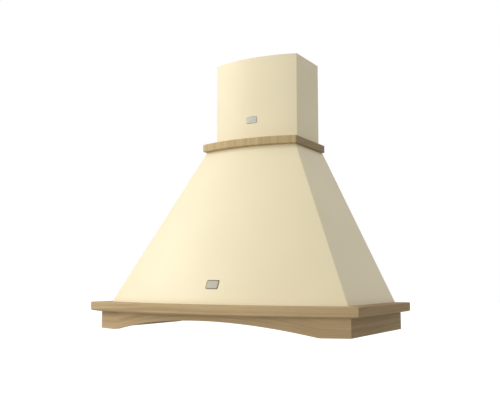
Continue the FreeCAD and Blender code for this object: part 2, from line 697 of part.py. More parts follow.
def switch_box():
    """The switch housing above the bezel, open below for the buttons."""
    half_x, half_y = SWITCH_BOX_LENGTH / 2, SWITCH_BOX_DEPTH / 2
    wall = SWITCH_BOX_WALL
    case = rounded_box(-half_x, half_x, CONTROL_Y - half_y, CONTROL_Y + half_y, PAN_Z,
                       PAN_Z + SWITCH_BOX_HEIGHT, wall, Z_AXIS)
    return case.cut(box(-half_x + wall, half_x - wall, CONTROL_Y - half_y + wall, CONTROL_Y + half_y - wall,
                        PAN_Z - 1, PAN_Z + SWITCH_BOX_HEIGHT - wall))


def button(x):
    """One push button: a cap with bevelled edges and a flange behind the bezel."""
    half = BUTTON_SIZE / 2
    wide = half + BUTTON_FLANGE
    low = PAN_Z - CONTROL_THICKNESS - BUTTON_PROUD
    flange_z = PAN_Z + BUTTON_REST_GAP
    cap = box(x - half, x + half, CONTROL_Y - half, CONTROL_Y + half, low, flange_z)
    cap = cap.makeChamfer(BUTTON_BEVEL, edges_at(cap, lambda p: p.z < low + 0.01))
    flange = box(x - wide, x + wide, CONTROL_Y - wide, CONTROL_Y + wide, flange_z,
                 flange_z + BUTTON_FLANGE_THICKNESS)
    return fused([cap, flange])


# ================================================================ blower
AXIS_Y = DUCT_Y - (SCROLL_STEP / 2 + IMPELLER_RADIUS + SCROLL_GAP + 2 * SCROLL_STEP + TONGUE_FORWARD) / 2
AXIS = V(0, AXIS_Y, AXIS_HEIGHT)
SCROLL_HALF = IMPELLER_HALF_WIDTH + SCROLL_SIDE_GAP
SCROLL_FACE = SCROLL_HALF + SCROLL_WALL
OUTLET_Z = AXIS_HEIGHT + OUTLET_RISE
OUTLET_BACK = AXIS_Y + SCROLL_STEP / 2 + IMPELLER_RADIUS + SCROLL_GAP + 2 * SCROLL_STEP
OUTLET_FRONT = AXIS_Y + TONGUE_FORWARD
GUARD_RADIUS = INLET_RADIUS + GUARD_MARGIN


def scroll_wire(x):
    """The volute: three quarter turns of growing radius, a tongue and an upright outlet."""
    half = SCROLL_STEP / 2
    radii = [IMPELLER_RADIUS + SCROLL_GAP + i * SCROLL_STEP for i in range(3)]
    centres = [(AXIS_Y - half, AXIS_HEIGHT - half), (AXIS_Y + half, AXIS_HEIGHT - half),
               (AXIS_Y + half, AXIS_HEIGHT + half)]

    def on(i, degrees):
        turn = math.radians(degrees)
        return V(x, centres[i][0] + radii[i] * math.cos(turn), centres[i][1] + radii[i] * math.sin(turn))

    top = on(0, 90)
    back, front = on(2, 360).y, OUTLET_FRONT
    tongue = V(x, front - TONGUE_RADIUS, top.z)
    tongue_end = V(x, front, top.z + TONGUE_RADIUS)
    slant = TONGUE_RADIUS * math.sin(math.radians(45))
    tongue_mid = V(x, tongue.y + slant, tongue_end.z - slant)
    return Part.Wire([
        Part.makeLine(tongue, top),
        Part.Arc(top, on(0, 135), on(0, 180)).toShape(),
        Part.Arc(on(1, 180), on(1, 225), on(1, 270)).toShape(),
        Part.Arc(on(2, 270), on(2, 315), on(2, 360)).toShape(),
        Part.makeLine(on(2, 360), V(x, back, OUTLET_Z)),
        Part.makeLine(V(x, back, OUTLET_Z), V(x, front, OUTLET_Z)),
        Part.makeLine(V(x, front, OUTLET_Z), tongue_end),
        Part.Arc(tongue_end, tongue_mid, tongue).toShape(),
    ])


def scroll_half():
    """The right half of the blower housing, open at the middle plane, the inlet and the outlet."""
    inner = Part.Face(scroll_wire(0))
    outer = Part.Face(scroll_wire(0).makeOffset2D(SCROLL_WALL, 2))
    ears = []
    for foot, degrees in scroll_screw_places():
        ear = box(0, SCROLL_EAR_THICKNESS, -SCROLL_EAR, SCROLL_EAR / 2, -SCROLL_EAR / 2, SCROLL_EAR / 2)
        ear.rotate(V(0, 0, 0), X_AXIS, degrees)
        ear.translate(foot)
        ears.append(ear)
    shell = outer.extrude(V(SCROLL_FACE, 0, 0)).fuse(ears)
    shell = shell.cut(inner.extrude(V(SCROLL_HALF, 0, 0)))
    shell = shell.cut(box(-1, SCROLL_HALF, OUTLET_FRONT, OUTLET_BACK, OUTLET_Z - SCROLL_WALL, OUTLET_Z + FAR))
    shell = shell.cut(box(-1, FAR, -FAR, 0, OUTLET_Z, OUTLET_Z + FAR))
    shell = shell.cut(rod(AXIS, X_AXIS, INLET_RADIUS, FAR))
    shell = shell.removeSplitter()
    for foot, _ in scroll_screw_places():
        shell = shell.cut(rod(foot - X_AXIS, X_AXIS, SCROLL_SCREW_RADIUS, SCROLL_EAR_THICKNESS + 2))
    return shell


def scroll_screw_places():
    """Middle-plane point and outward direction of each ear that joins the housing halves."""
    reach = IMPELLER_RADIUS + SCROLL_GAP + SCROLL_WALL + SCROLL_EAR / 2
    half = SCROLL_STEP / 2
    centres = [(AXIS_Y - half, AXIS_HEIGHT - half), (AXIS_Y + half, AXIS_HEIGHT - half),
               (AXIS_Y + half, AXIS_HEIGHT + half)]
    found = []
    for i, degrees in enumerate(SCROLL_EAR_DEGREES):
        turn = math.radians(degrees)
        radius = reach + i * SCROLL_STEP
        found.append((V(0, centres[i][0] + radius * math.cos(turn), centres[i][1] + radius * math.sin(turn)),
                      degrees))
    found.append((V(0, OUTLET_BACK + SCROLL_WALL + SCROLL_EAR / 2, OUTLET_Z - HANGER_FLANGE), 0))
    return found


def scroll_screws():
    """Short screws through the ears of both halves."""
    grip = SCROLL_EAR_THICKNESS
    screws = []
    for foot, _ in scroll_screw_places():
        shank = rod(foot - X_AXIS * grip, X_AXIS, SCROLL_SCREW_RADIUS, 2 * grip)
        head = hexagon(foot + X_AXIS * grip, X_AXIS, 2 * SCROLL_SCREW_RADIUS, SCROLL_SCREW_RADIUS)
        screws.append(shank.fuse(head).removeSplitter())
    return Part.Compound(screws)


def blade():
    """One forward-curved blade: a thin strip bent once, between the two rims."""
    outer = IMPELLER_RADIUS - BLADE_SHEET
    inner = outer - BLADE_DEPTH
    middle = (outer + inner) / 2
    reach = IMPELLER_HALF_WIDTH - IMPELLER_RING

    def at(radius, degrees):
        turn = math.radians(degrees)
        return V(-reach, AXIS_Y + radius * math.cos(turn), AXIS_HEIGHT + radius * math.sin(turn))

    thick = math.degrees(BLADE_SHEET / middle)
    stations = ((inner, 0), (middle, BLADE_LEAD_DEGREES * BLADE_BEND), (outer, BLADE_LEAD_DEGREES))
    near = [at(radius, degrees) for radius, degrees in stations]
    far = [at(radius, degrees + thick) for radius, degrees in reversed(stations)]
    return Part.Face(Part.makePolygon(near + far + near[:1])).extrude(V(2 * reach, 0, 0))


def impeller():
    """A squirrel-cage wheel: two rims, a middle disc with its hub, and forward-curved blades."""
    half = IMPELLER_HALF_WIDTH
    rim_inner = IMPELLER_RADIUS - BLADE_SHEET - BLADE_DEPTH
    first = blade()
    blades = []
    for i in range(BLADE_COUNT):
        turned_blade = first.copy()
        turned_blade.rotate(AXIS, X_AXIS, 360.0 * i / BLADE_COUNT)
        blades.append(turned_blade)
    disc_foot = AXIS - X_AXIS * IMPELLER_DISC / 2
    parts = [
        tube(AXIS - X_AXIS * half, X_AXIS, IMPELLER_RADIUS, rim_inner, IMPELLER_RING),
        tube(AXIS + X_AXIS * (half - IMPELLER_RING), X_AXIS, IMPELLER_RADIUS, rim_inner, IMPELLER_RING),
        rod(disc_foot, X_AXIS, rim_inner + BLADE_SEAT, IMPELLER_DISC),
        rod(disc_foot, X_AXIS, HUB_RADIUS, HUB_LENGTH),
    ]
    return fused(parts + blades).cut(rod(AXIS - X_AXIS * half, X_AXIS, SHAFT_RADIUS, 2 * half))


MOTOR_FRONT = -IMPELLER_DISC / 2 - MOTOR_HUB_GAP
MOTOR_BACK = MOTOR_FRONT - MOTOR_NOSE_LENGTH - MOTOR_LENGTH
SHAFT_START = MOTOR_FRONT - MOTOR_NOSE_LENGTH - SHAFT_OVERHANG


def motor():
    """The motor: a can with a nose towards the wheel, bored for its shaft."""
    can = rod(AXIS + X_AXIS * MOTOR_BACK, X_AXIS, MOTOR_RADIUS, MOTOR_LENGTH)
    nose = rod(AXIS + X_AXIS * (MOTOR_FRONT - MOTOR_NOSE_LENGTH), X_AXIS, MOTOR_NOSE_RADIUS, MOTOR_NOSE_LENGTH)
    bore = rod(AXIS + X_AXIS * SHAFT_START, X_AXIS, SHAFT_RADIUS + BEARING_CLEARANCE, -SHAFT_START)
    return fused([can, nose]).cut(bore)


def motor_shaft():
    """The shaft from the motor into the wheel's hub."""
    start = SHAFT_START + BEARING_CLEARANCE
    end = HUB_LENGTH - IMPELLER_DISC / 2 + SHAFT_OVERHANG
    return rod(AXIS + X_AXIS * start, X_AXIS, SHAFT_RADIUS, end - start)


def inlet_guard():
    """The finger guard over the right inlet: a ring with upright bars."""
    step = 2 * INLET_RADIUS / GUARD_BARS
    low = AXIS - V(0, INLET_RADIUS, INLET_RADIUS)
    slots = []
    for i in range(GUARD_BARS):
        y = low.y + i * step + GUARD_BAR / 2
        slots.append(box(SCROLL_FACE, SCROLL_FACE + GUARD_THICKNESS, y, y + step - GUARD_BAR,
                         low.z, low.z + 2 * INLET_RADIUS))
    hole = rod(AXIS + X_AXIS * SCROLL_FACE, X_AXIS, INLET_RADIUS - SCROLL_WALL, GUARD_THICKNESS)
    plate = rod(AXIS + X_AXIS * SCROLL_FACE, X_AXIS, GUARD_RADIUS, GUARD_THICKNESS)
    return plate.cut(hole.common(Part.Compound(slots)))


def motor_bracket():
    """A ring round the motor with three arms screwed to the housing round the left inlet."""
    x0 = -SCROLL_FACE - GUARD_THICKNESS
    grip = MOTOR_RADIUS + MOTOR_RING
    shapes = [rod(V(x0, 0, 0), X_AXIS, grip, GUARD_THICKNESS)]
    for i in range(ARM_COUNT):
        arm = box(x0, x0 + GUARD_THICKNESS, -ARM_WIDTH / 2, ARM_WIDTH / 2, 0, GUARD_RADIUS)
        arm.rotate(V(0, 0, 0), X_AXIS, 360.0 * i / ARM_COUNT)
        shapes.append(arm)
    bracket = fused(shapes).cut(rod(V(x0, 0, 0), X_AXIS, MOTOR_RADIUS, GUARD_THICKNESS))
    bracket.translate(V(0, AXIS_Y, AXIS_HEIGHT))
    return bracket


def hanger(side):
    """A sheet bracket from the housing's side to the back panel."""
    x = SCROLL_FACE * side
    out = HANGER_SHEET * side
    low, high = AXIS_HEIGHT - HANGER_BELOW, AXIS_HEIGHT + HANGER_ABOVE
    front = AXIS_Y + HANGER_REACH
    xs = sorted((x, x + out))
    plate = box(xs[0], xs[1], front, -BACK_SHEET, low, high)
    plate = plate.cut(rod(V(-FAR / 2, AXIS_Y, AXIS_HEIGHT), X_AXIS, GUARD_RADIUS + 1, FAR))
    xs = sorted((x, x + HANGER_FLANGE * side))
    flange = box(xs[0], xs[1], -BACK_SHEET - HANGER_SHEET, -BACK_SHEET, low, high)
    return fused([plate, flange])


# ================================================================ outlet collar and flaps
SPIGOT_Z = OUTLET_Z + COLLAR_FLANGE_THICKNESS
FLAP_Z = SPIGOT_Z + FLAP_RISE
COLLAR_INNER = COLLAR_RADIUS - COLLAR_WALL


def outlet_collar():
    """A square plate on the blower's outlet with the round spigot for the duct."""
    foot = V(0, DUCT_Y, OUTLET_Z)
    half = COLLAR_RADIUS + COLLAR_FLANGE
    plate = box(-half, half, DUCT_Y - half, -BACK_SHEET - COLLAR_WALL_GAP, OUTLET_Z, SPIGOT_Z)
    body = plate.fuse(rod(foot, Z_AXIS, COLLAR_RADIUS, COLLAR_FLANGE_THICKNESS + COLLAR_LENGTH))
    body = body.cut(rod(foot + Z_AXIS * COLLAR_FLANGE_THICKNESS, Z_AXIS, COLLAR_INNER, COLLAR_LENGTH))
    throat = box(-SCROLL_HALF, SCROLL_HALF, OUTLET_FRONT, OUTLET_BACK, OUTLET_Z, SPIGOT_Z)
    body = body.cut(throat.common(rod(foot, Z_AXIS, COLLAR_INNER, COLLAR_FLANGE_THICKNESS)))
    return body.removeSplitter()


def flap_line(side):
    """y and z of one flap's hinge line."""
    return DUCT_Y + side * FLAP_HINGE_OFFSET, FLAP_Z


def flap_pin(side):
    """The steel pin of one flap, from wall to wall across the collar's bore."""
    y, z = flap_line(side)
    pin = rod(V(-COLLAR_RADIUS, y, z), X_AXIS, FLAP_PIN_RADIUS, 2 * COLLAR_RADIUS)
    return pin.common(rod(V(0, DUCT_Y, SPIGOT_Z), Z_AXIS, COLLAR_INNER, COLLAR_LENGTH))


def flap(side):
    """One half-moon non-return flap with its hinge barrel."""
    y, z = flap_line(side)
    edge = FLAP_HINGE_OFFSET * side
    disc = rod(V(0, DUCT_Y, z - FLAP_SHEET / 2), Z_AXIS, COLLAR_INNER - FLAP_EDGE_GAP, FLAP_SHEET)
    ys = sorted((DUCT_Y + edge, DUCT_Y + side * FAR))
    disc = disc.common(box(-FAR, FAR, ys[0], ys[1], 0, FAR))
    half = COLLAR_INNER - FLAP_BARREL_INSET
    barrel = rod(V(-half, y, z), X_AXIS, FLAP_BARREL_RADIUS, 2 * half)
    bore = rod(V(-FAR / 2, y, z), X_AXIS, FLAP_PIN_RADIUS + BEARING_CLEARANCE, FAR)
    return fused([disc, barrel]).cut(bore)


# ================================================================ electrics
def terminal_box():
    """The closed mains box on the back panel, its lid set off by a shallow seam."""
    half = TERMINAL_WIDTH / 2
    front = -BACK_SHEET - TERMINAL_DEPTH
    top = TERMINAL_BASE + TERMINAL_HEIGHT
    case = box(TERMINAL_X - half, TERMINAL_X + half, front, -BACK_SHEET, TERMINAL_BASE, top)
    inset = half - TERMINAL_SEAM
    core = box(TERMINAL_X - inset, TERMINAL_X + inset, front, -BACK_SHEET, TERMINAL_BASE + TERMINAL_SEAM,
               top - TERMINAL_SEAM)
    seam_y = front + TERMINAL_LID
    seam = box(TERMINAL_X - half, TERMINAL_X + half, seam_y, seam_y + TERMINAL_SEAM, TERMINAL_BASE, top)
    entry = rod(gland_foot() - Z_AXIS * GLAND_NUT, Z_AXIS, GLAND_BORE_RADIUS, GLAND_NUT)
    return case.cut([seam.cut(core), entry])


def gland_foot():
    """Where the gland stands on the terminal box."""
    return V(TERMINAL_X, -BACK_SHEET - TERMINAL_DEPTH / 2, TERMINAL_BASE + TERMINAL_HEIGHT)


def cable_gland():
    """A screwed gland with a hexagon nut and a bore for the mains cable."""
    foot = gland_foot()
    nut = hexagon(foot, Z_AXIS, GLAND_RADIUS, GLAND_NUT)
    neck = rod(foot, Z_AXIS, GLAND_NECK_RADIUS, GLAND_LENGTH)
    return fused([nut, neck]).cut(rod(foot, Z_AXIS, GLAND_BORE_RADIUS, GLAND_LENGTH))


def capacitor():
    """The motor's capacitor, upright in its foot on the back panel."""
    centre_y = -BACK_SHEET - CAPACITOR_FOOT - CAPACITOR_RADIUS
    can = rod(V(CAPACITOR_X, centre_y, CAPACITOR_BASE), Z_AXIS, CAPACITOR_RADIUS, CAPACITOR_LENGTH)
    half = CAPACITOR_RADIUS
    foot = box(CAPACITOR_X - half, CAPACITOR_X + half, centre_y, -BACK_SHEET,
               CAPACITOR_BASE + CAPACITOR_FOOT, CAPACITOR_BASE + CAPACITOR_RADIUS)
    return fused([can, foot])


# ================================================================ plates and screws
def plate_on(width, height, x, z, reach, body):
    """A bare plate with cut corners whose back follows the body behind it."""
    blank = box(x - width / 2, x + width / 2, -reach, 0, z - height / 2, z + height / 2)
    upright = [e for e in blank.Edges if abs(e.tangentAt(e.FirstParameter).y) > 0.9]
    blank = blank.makeChamfer(PLATE_CORNER, upright)
    return blank.cut(body)


def canopy_plate():
    """The bare plate on the canopy's front, lying on the slope."""
    z = CANOPY_BASE + CANOPY_PLATE_RISE
    outside = ruled(CANOPY_LOW, CANOPY_BASE, CANOPY_HIGH, CANOPY_TOP_HEIGHT, 0)
    skin = ruled(CANOPY_LOW.grown(0, PLATE_THICKNESS), CANOPY_BASE,
                 CANOPY_HIGH.grown(0, PLATE_THICKNESS), CANOPY_TOP_HEIGHT, 0)
    return plate_on(CANOPY_PLATE_WIDTH, CANOPY_PLATE_HEIGHT, CANOPY_PLATE_X, z, FAR, outside).common(skin)


def chimney_plate():
    """The bare plate on the chimney's front."""
    z = NECK_TOP + CHIMNEY_PLATE_RISE - CHIMNEY_PLATE_HEIGHT / 2
    skin = CHIMNEY.grown(0, PLATE_THICKNESS).prism(0, CHIMNEY_TOP, 0)
    return plate_on(CHIMNEY_PLATE_WIDTH, CHIMNEY_PLATE_HEIGHT, 0, z, FAR, CHIMNEY.prism(0, CHIMNEY_TOP, 0)).common(skin)


def board_screw_places():
    """Seat on the skirt's inner face, direction and length of each screw into the boards."""
    z = (SKIRT_BASE + FRIEZE_HEIGHT) / 2
    skirt = CANOPY_LOW.grown(-SHEET)
    places = []
    for distance in SIDE_SCREW_WALL_DISTANCES:
        for side in (-1, 1):
            places.append((V(side * skirt.half, -distance, z), V(side, 0, 0), SHEET + SCREW_IN_OAK))
    gap = CANOPY_FRONT_SETBACK - BOARD
    for x in (-SPACER_X, 0.0, SPACER_X):
        seat = V(x, skirt.front(x), z)
        outwards = seat - V(0, skirt.centre, z)
        outwards.normalize()
        places.append((seat, outwards, SHEET + gap + SCREW_IN_OAK))
    return places


def board_screws():
    """The screws that hold the boards to the skirt."""
    screws = []
    for seat, outwards, length in board_screw_places():
        head = hexagon(seat - outwards * (SCREW_HEAD + SCREW_SEAT_GAP), outwards, SCREW_HEAD_RADIUS, SCREW_HEAD)
        shank = rod(seat - outwards * SCREW_HEAD, outwards, SCREW_RADIUS, length + SCREW_HEAD)
        screws.append(head.fuse(shank).removeSplitter())
    return Part.Compound(screws)


def drilled(shape):
    """The piece with the screws' holes in it."""
    holes = [rod(seat, outwards, SCREW_RADIUS, length) for seat, outwards, length in board_screw_places()]
    return shape.cut(holes)


# ================================================================ assembly
def save(name, shape):
    """Write one piece, moved so that the origin is on the fixing line."""
    placed = shape.copy()
    placed.translate(V(0, 0, -FIXING_HEIGHT))
    if not placed.isValid() or not placed.Solids:
        raise ValueError(name + " is not a sound solid")
    placed.exportStep(os.path.join("parts", name + ".step"))


def main():
    """Make and write every piece."""
    os.makedirs("parts", exist_ok=True)
    for name, piece in zip(("frieze_front", "frieze_left", "frieze_right"), make_frieze()):
        save(name, drilled(piece))
    for name, piece in zip(("cornice_front", "cornice_left", "cornice_right"), make_cornice()):
        save(name, piece)
    for name, piece in zip(("neck_front", "neck_left", "neck_right"), make_neck_moulding()):
        save(name, piece)
    save("corner_blocks", corner_blocks())
    save("front_spacers", drilled(front_spacers()))
    save("canopy_shell", drilled(canopy_shell()))
    save("back_panel", back_panel())
    save("underside_pan", underside_pan())
    save("chimney_lower", chimney_lower())
    save("chimney_upper", chimney_upper())
    save("chimney_bracket", chimney_bracket())
    for side, word in ((-1, "left"), (1, "right")):
        save("filter_frame_" + word, filter_frame(side))
        save("filter_mesh_" + word, filter_mesh(side))
        save("filter_latch_" + word, filter_latch(side))
        for kind, piece in zip(("bezel", "glass", "body"), lamp(side)):
            save("lamp_" + kind + "_" + word, piece)
        save("blower_hanger_" + word, hanger(side))
    save("control_bezel", control_bezel())
    save("switch_box", switch_box())
    for i, x in enumerate(button_places()):
        save("button_" + str(i + 1), button(x))
    right_half = scroll_half()
    save("scroll_right", right_half)
    save("scroll_left", mirrored(right_half))
    save("scroll_screws", scroll_screws())
    save("impeller", impeller())
    save("motor", motor())
    save("motor_shaft", motor_shaft())
    save("motor_bracket", motor_bracket())
    save("inlet_guard", inlet_guard())
    save("outlet_collar", outlet_collar())
    save("flap_front", flap(-1))
    save("flap_back", flap(1))
    save("flap_pins", Part.Compound([flap_pin(-1), flap_pin(1)]))
    save("terminal_box", terminal_box())
    save("cable_gland", cable_gland())
    save("capacitor", capacitor())
    save("canopy_plate", canopy_plate())
    save("chimney_plate", chimney_plate())
    save("board_screws", board_screws())


main()
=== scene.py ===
# %% [markdown]
# # A bow-fronted cooker hood with oak trim
# The hood hangs on a kitchen wall: a cream enamelled canopy, a narrow chimney above it, and three rings
# of oak round them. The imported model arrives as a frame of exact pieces. Here the pieces that show get
# their finished surfaces, and every piece gets a worked-out material.

# %% Load the frame and keep its box
import math

import bpy
import numpy as np
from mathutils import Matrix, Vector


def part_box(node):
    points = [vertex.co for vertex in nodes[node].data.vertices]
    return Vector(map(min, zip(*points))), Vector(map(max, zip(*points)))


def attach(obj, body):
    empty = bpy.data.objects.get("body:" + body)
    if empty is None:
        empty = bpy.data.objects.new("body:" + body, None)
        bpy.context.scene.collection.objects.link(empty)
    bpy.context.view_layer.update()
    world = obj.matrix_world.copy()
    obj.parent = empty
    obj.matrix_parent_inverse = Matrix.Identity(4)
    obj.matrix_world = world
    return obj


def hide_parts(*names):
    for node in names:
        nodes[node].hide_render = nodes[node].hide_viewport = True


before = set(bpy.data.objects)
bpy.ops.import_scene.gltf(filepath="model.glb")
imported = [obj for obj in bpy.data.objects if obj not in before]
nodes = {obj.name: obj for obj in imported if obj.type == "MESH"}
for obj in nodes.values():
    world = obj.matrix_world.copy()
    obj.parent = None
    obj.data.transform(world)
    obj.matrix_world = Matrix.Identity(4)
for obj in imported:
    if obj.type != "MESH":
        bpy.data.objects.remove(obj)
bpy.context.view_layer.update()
print("pieces in the frame:", len(nodes))

# %% [markdown]
# ## The driving sizes
# A designer would draw this hood from a few outlines. Each one is the same shape, two straight sides
# joined by one round front, so three numbers hold it: half the width, where the front's circle has its
# centre, and that circle's radius. Everything is in metres, and heights are above the oak's lower edge.

# %% The outlines and heights
LIFT = 0.330


def outline(width, side_depth, bow):
    """Half width, centre and radius of a round front: radius = (half^2 + bow^2) / (2 bow)."""
    half = width / 2
    radius = (half * half + bow * bow) / (2 * bow)
    return np.array([half, radius - side_depth - bow, radius])


def grown(plan, sides, front=None):
    """The same outline moved outwards at its sides and its front."""
    return plan + np.array([sides, 0.0, sides if front is None else front])


FRIEZE = outline(0.840, 0.410, 0.080)
CANOPY_LOW = grown(FRIEZE, -0.018, -0.0325)
CANOPY_HIGH = outline(0.326, 0.201, 0.0276)
CHIMNEY = outline(0.3007, 0.1624, 0.0276)
FRIEZE_HEIGHT, SKIRT_BASE, CANOPY_BASE = 0.052, 0.040, 0.082
CANOPY_TOP, NECK_TOP, CHIMNEY_TOP = 0.570, 0.5945, 0.870
SHEET, CHIMNEY_SHEET, BOARD = 0.0012, 0.001, 0.018
WALL_GAP, BACK_SHEET = 0.001, 0.0012
print("frieze outline:", FRIEZE.round(4))

# %% [markdown]
# ## A walk round the hood
# Every ring on this hood follows the wall, a side, a corner, the round front, and back again. One
# function walks that line for many heights at once. A station is a number: 0 to 1 is the front from
# its middle to the corner, 1 to 2 is the rounded corner, 2 to 3 the straight side, 3 to 4 a flange
# that turns inwards along the wall.

# %% The walk
def walk(plans, corner, back, lip, station):
    """x and y of each station (columns) on each outline (rows).

    The corner's circle touches the side line and the front's circle: its centre is corner inside the
    side and radius - corner from the front's centre. The front point is radius * (sin a, -cos a) from
    its centre, and the corner point is corner * (sin t, -cos t) from the corner's centre.
    """
    half, centre, radius = (plans[:, i:i + 1] for i in range(3))
    corner, back, lip = (np.broadcast_to(v, (len(plans),))[:, None] for v in (corner, back, lip))
    s = station[None, :]
    across = half - corner
    reach = np.sqrt((radius - corner) ** 2 - across ** 2)
    lean = np.arctan2(across, reach)
    a = np.clip(s, 0, 1) * lean
    t = lean + np.clip(s - 1, 0, 1) * (np.pi / 2 - lean)
    along = np.clip(s - 2, 0, 1)
    inwards = np.clip(s - 3, 0, 1)
    turn_y = centre - reach
    x = np.where(s <= 1, radius * np.sin(a), across + corner * np.sin(t)) - inwards * (half - lip)
    y = np.where(s <= 1, centre - radius * np.cos(a), turn_y - corner * np.cos(t))
    return x, y + along * (back - turn_y)


def stations(part, front=48, turn=10, side=12, flange=False):
    """The stations of a whole ring, its front piece or its right-hand side piece."""
    f, c, s = (np.linspace(0, 1, n + 1) for n in (front, turn, side))
    if part == "front":
        right = np.r_[f, 1 + c[1:turn // 2 + 1]]
        return np.r_[-right[:0:-1], right]
    if part == "side":
        return np.r_[1 + c[turn // 2:], 2 + s[1:]]
    right = np.r_[f, 1 + c[1:], 2 + s[1:]]
    if flange:
        right = np.r_[right, 3 + np.array([0.5, 1.0])]
    return np.r_[-right[:0:-1], right]


# %% [markdown]
# ## From a grid of points to a mesh
# A closed profile carried along a path gives a grid: rows go round the profile and columns go along
# the path. The faces are the little squares between neighbours, and each end is closed. The UV map
# holds real distances, so grain and brushing follow the piece at true scale.

# %% Grid to mesh
def piece(name, points, faces, uv=None, smooth_angle=35.0):
    """A mesh object from points and faces, turned outwards by the sign of its volume."""
    mesh = bpy.data.meshes.new(name)
    mesh.from_pydata(points.reshape(-1, 3).tolist(), [], faces)
    mesh.update()
    mesh.calc_loop_triangles()
    corners = np.empty(len(mesh.loop_triangles) * 3, np.int32)
    mesh.loop_triangles.foreach_get("vertices", corners)
    a, b, c = points.reshape(-1, 3)[corners.reshape(-1, 3)].transpose(1, 0, 2)
    if np.einsum("ij,ij->", a, np.cross(b, c)) < 0:
        mesh.flip_normals()
    if uv is not None:
        layer = mesh.uv_layers.new(name="length")
        at = np.empty(len(mesh.loops), np.int32)
        mesh.loops.foreach_get("vertex_index", at)
        layer.data.foreach_set("uv", uv.reshape(-1, 2)[at].astype(np.float32).ravel())
    mesh.polygons.foreach_set("use_smooth", np.ones(len(mesh.polygons), bool))
    mesh.set_sharp_from_angle(angle=math.radians(smooth_angle))
    obj = bpy.data.objects.new(name, mesh)
    bpy.context.scene.collection.objects.link(obj)
    return obj


def keep_flats_flat(obj):
    """Shade by face area, so that a rounded edge doesn't bend the light on the flat beside it."""
    obj.modifiers.new("flat faces stay flat", "WEIGHTED_NORMAL").keep_sharp = True


def quads(rows, columns, close_rows):
    """The squares between neighbours of a grid, also from the last row to the first when closed."""
    i = np.arange(rows if close_rows else rows - 1)[:, None]
    j = np.arange(columns - 1)[None, :]
    k = (i + 1) % rows
    return np.stack([i * columns + j, i * columns + j + 1, k * columns + j + 1, k * columns + j],
                    axis=-1).reshape(-1, 4)


def lengths(grid):
    """Distance along the path and along the profile for each grid point."""
    along = np.linalg.norm(np.diff(grid, axis=1), axis=2)
    down = np.linalg.norm(np.diff(grid, axis=0), axis=2)
    u = np.concatenate([np.zeros((len(grid), 1)), along.cumsum(axis=1)], axis=1)
    v = np.concatenate([np.zeros((1, grid.shape[1])), down.cumsum(axis=0)], axis=0)
    return np.stack([u - u[:, -1:] / 2, v], axis=-1)


def ring(name, plans, heights, station, corner=0.002, back=-WALL_GAP, lip=0.0, mirror=False, lift=None,
         paired=False, smooth_angle=35.0):
    """A closed profile (one outline and height per row) carried round the hood.

    Left-hand stations are the right-hand ones with x turned over. Where lift is given, z is lift(x, z).
    A paired profile lists its outer rows and then its inner rows backwards, so its ends close in strips.
    """
    x, y = walk(plans, corner, back, lip, np.abs(station))
    x = x * np.where(station < 0, -1.0, 1.0)[None, :] * (-1.0 if mirror else 1.0)
    z = np.broadcast_to(heights[:, None], x.shape)
    z = z if lift is None else lift(x, z)
    grid = np.stack([x, y, z - LIFT], axis=-1)
    rows, columns = x.shape
    faces = quads(rows, columns, True).tolist()
    for j in (0, columns - 1):
        line = np.arange(rows) * columns + j
        if paired:
            n = rows // 2
            outer, inner = line[:n], line[:n - 1:-1]
            strips = np.stack([outer[:-1], outer[1:], inner[1:], inner[:-1]], axis=-1)
            faces += strips[:, ::1 if j else -1].tolist()
        else:
            faces.append(line[::1 if j else -1].tolist())
    return piece(name, grid, faces, lengths(grid), smooth_angle)


def eased(corners, steps=6):
    """A closed profile of (outline, height, rounding) corners, each turned by a true circle.

    Distances are taken at the side of the hood. A corner of radius r starts and ends r / tan(half its
    angle) from its point, and the weighted curve through the corner joins the two.
    """
    points = np.array([[*plan, z] for plan, z, _ in corners], float)
    radii = np.array([r for _, _, r in corners], float)
    before, after = (np.roll(points, k, axis=0) - points for k in (1, -1))
    long_before, long_after = (np.hypot(d[:, 0], d[:, 3])[:, None] for d in (before, after))
    before, after = before / long_before, after / long_after
    inner = np.arccos(np.clip(before[:, 0] * after[:, 0] + before[:, 3] * after[:, 3], -1, 1))
    cut = (radii / np.tan(inner / 2))[:, None]
    weight = np.sin(inner / 2)[:, None, None]
    t = np.linspace(0, 1, steps)[None, :, None]
    a, b = (points + before * cut)[:, None], (points + after * cut)[:, None]
    share = (1 - t) ** 2 + 2 * weight * t * (1 - t) + t ** 2
    blend = ((1 - t) ** 2 * a + 2 * weight * t * (1 - t) * points[:, None] + t ** 2 * b) / share
    keep = np.where(radii[:, None] > 0, True, np.arange(steps)[None, :] == 0)
    return blend[keep]


print("walk ready")

# %% [markdown]
# ## How the finishes are built
# A finish is a small graph of nodes. Two helpers keep the graphs readable: one adds a node and fills
# its inputs, the other makes a shared group whose outputs are masks, heights and tones only. The
# colours are then mixed in each material, where a reader can see them.

# %% Node helpers
def add(tree, kind, inputs=None, **settings):
    """A new node with its settings, its inputs filled with numbers or linked to sockets."""
    node = tree.nodes.new("ShaderNode" + kind)
    for key, value in settings.items():
        setattr(node, key, value)
    for key, value in (inputs or {}).items():
        if isinstance(value, bpy.types.NodeSocket):
            tree.links.new(value, node.inputs[key])
        else:
            node.inputs[key].default_value = value
    return node


def blended(tree, factor, low, high):
    """A colour mixed between two, each a socket or red, green and blue."""
    node = tree.nodes.new("ShaderNodeMix")
    node.data_type = "RGBA"
    for key, value in (("Factor_Float", factor), ("A_Color", low), ("B_Color", high)):
        socket = next(s for s in node.inputs if s.identifier == key)
        if isinstance(value, bpy.types.NodeSocket):
            tree.links.new(value, socket)
        else:
            socket.default_value = value if isinstance(value, float) else (*value, 1.0)
    return next(s for s in node.outputs if s.identifier == "Result_Color")


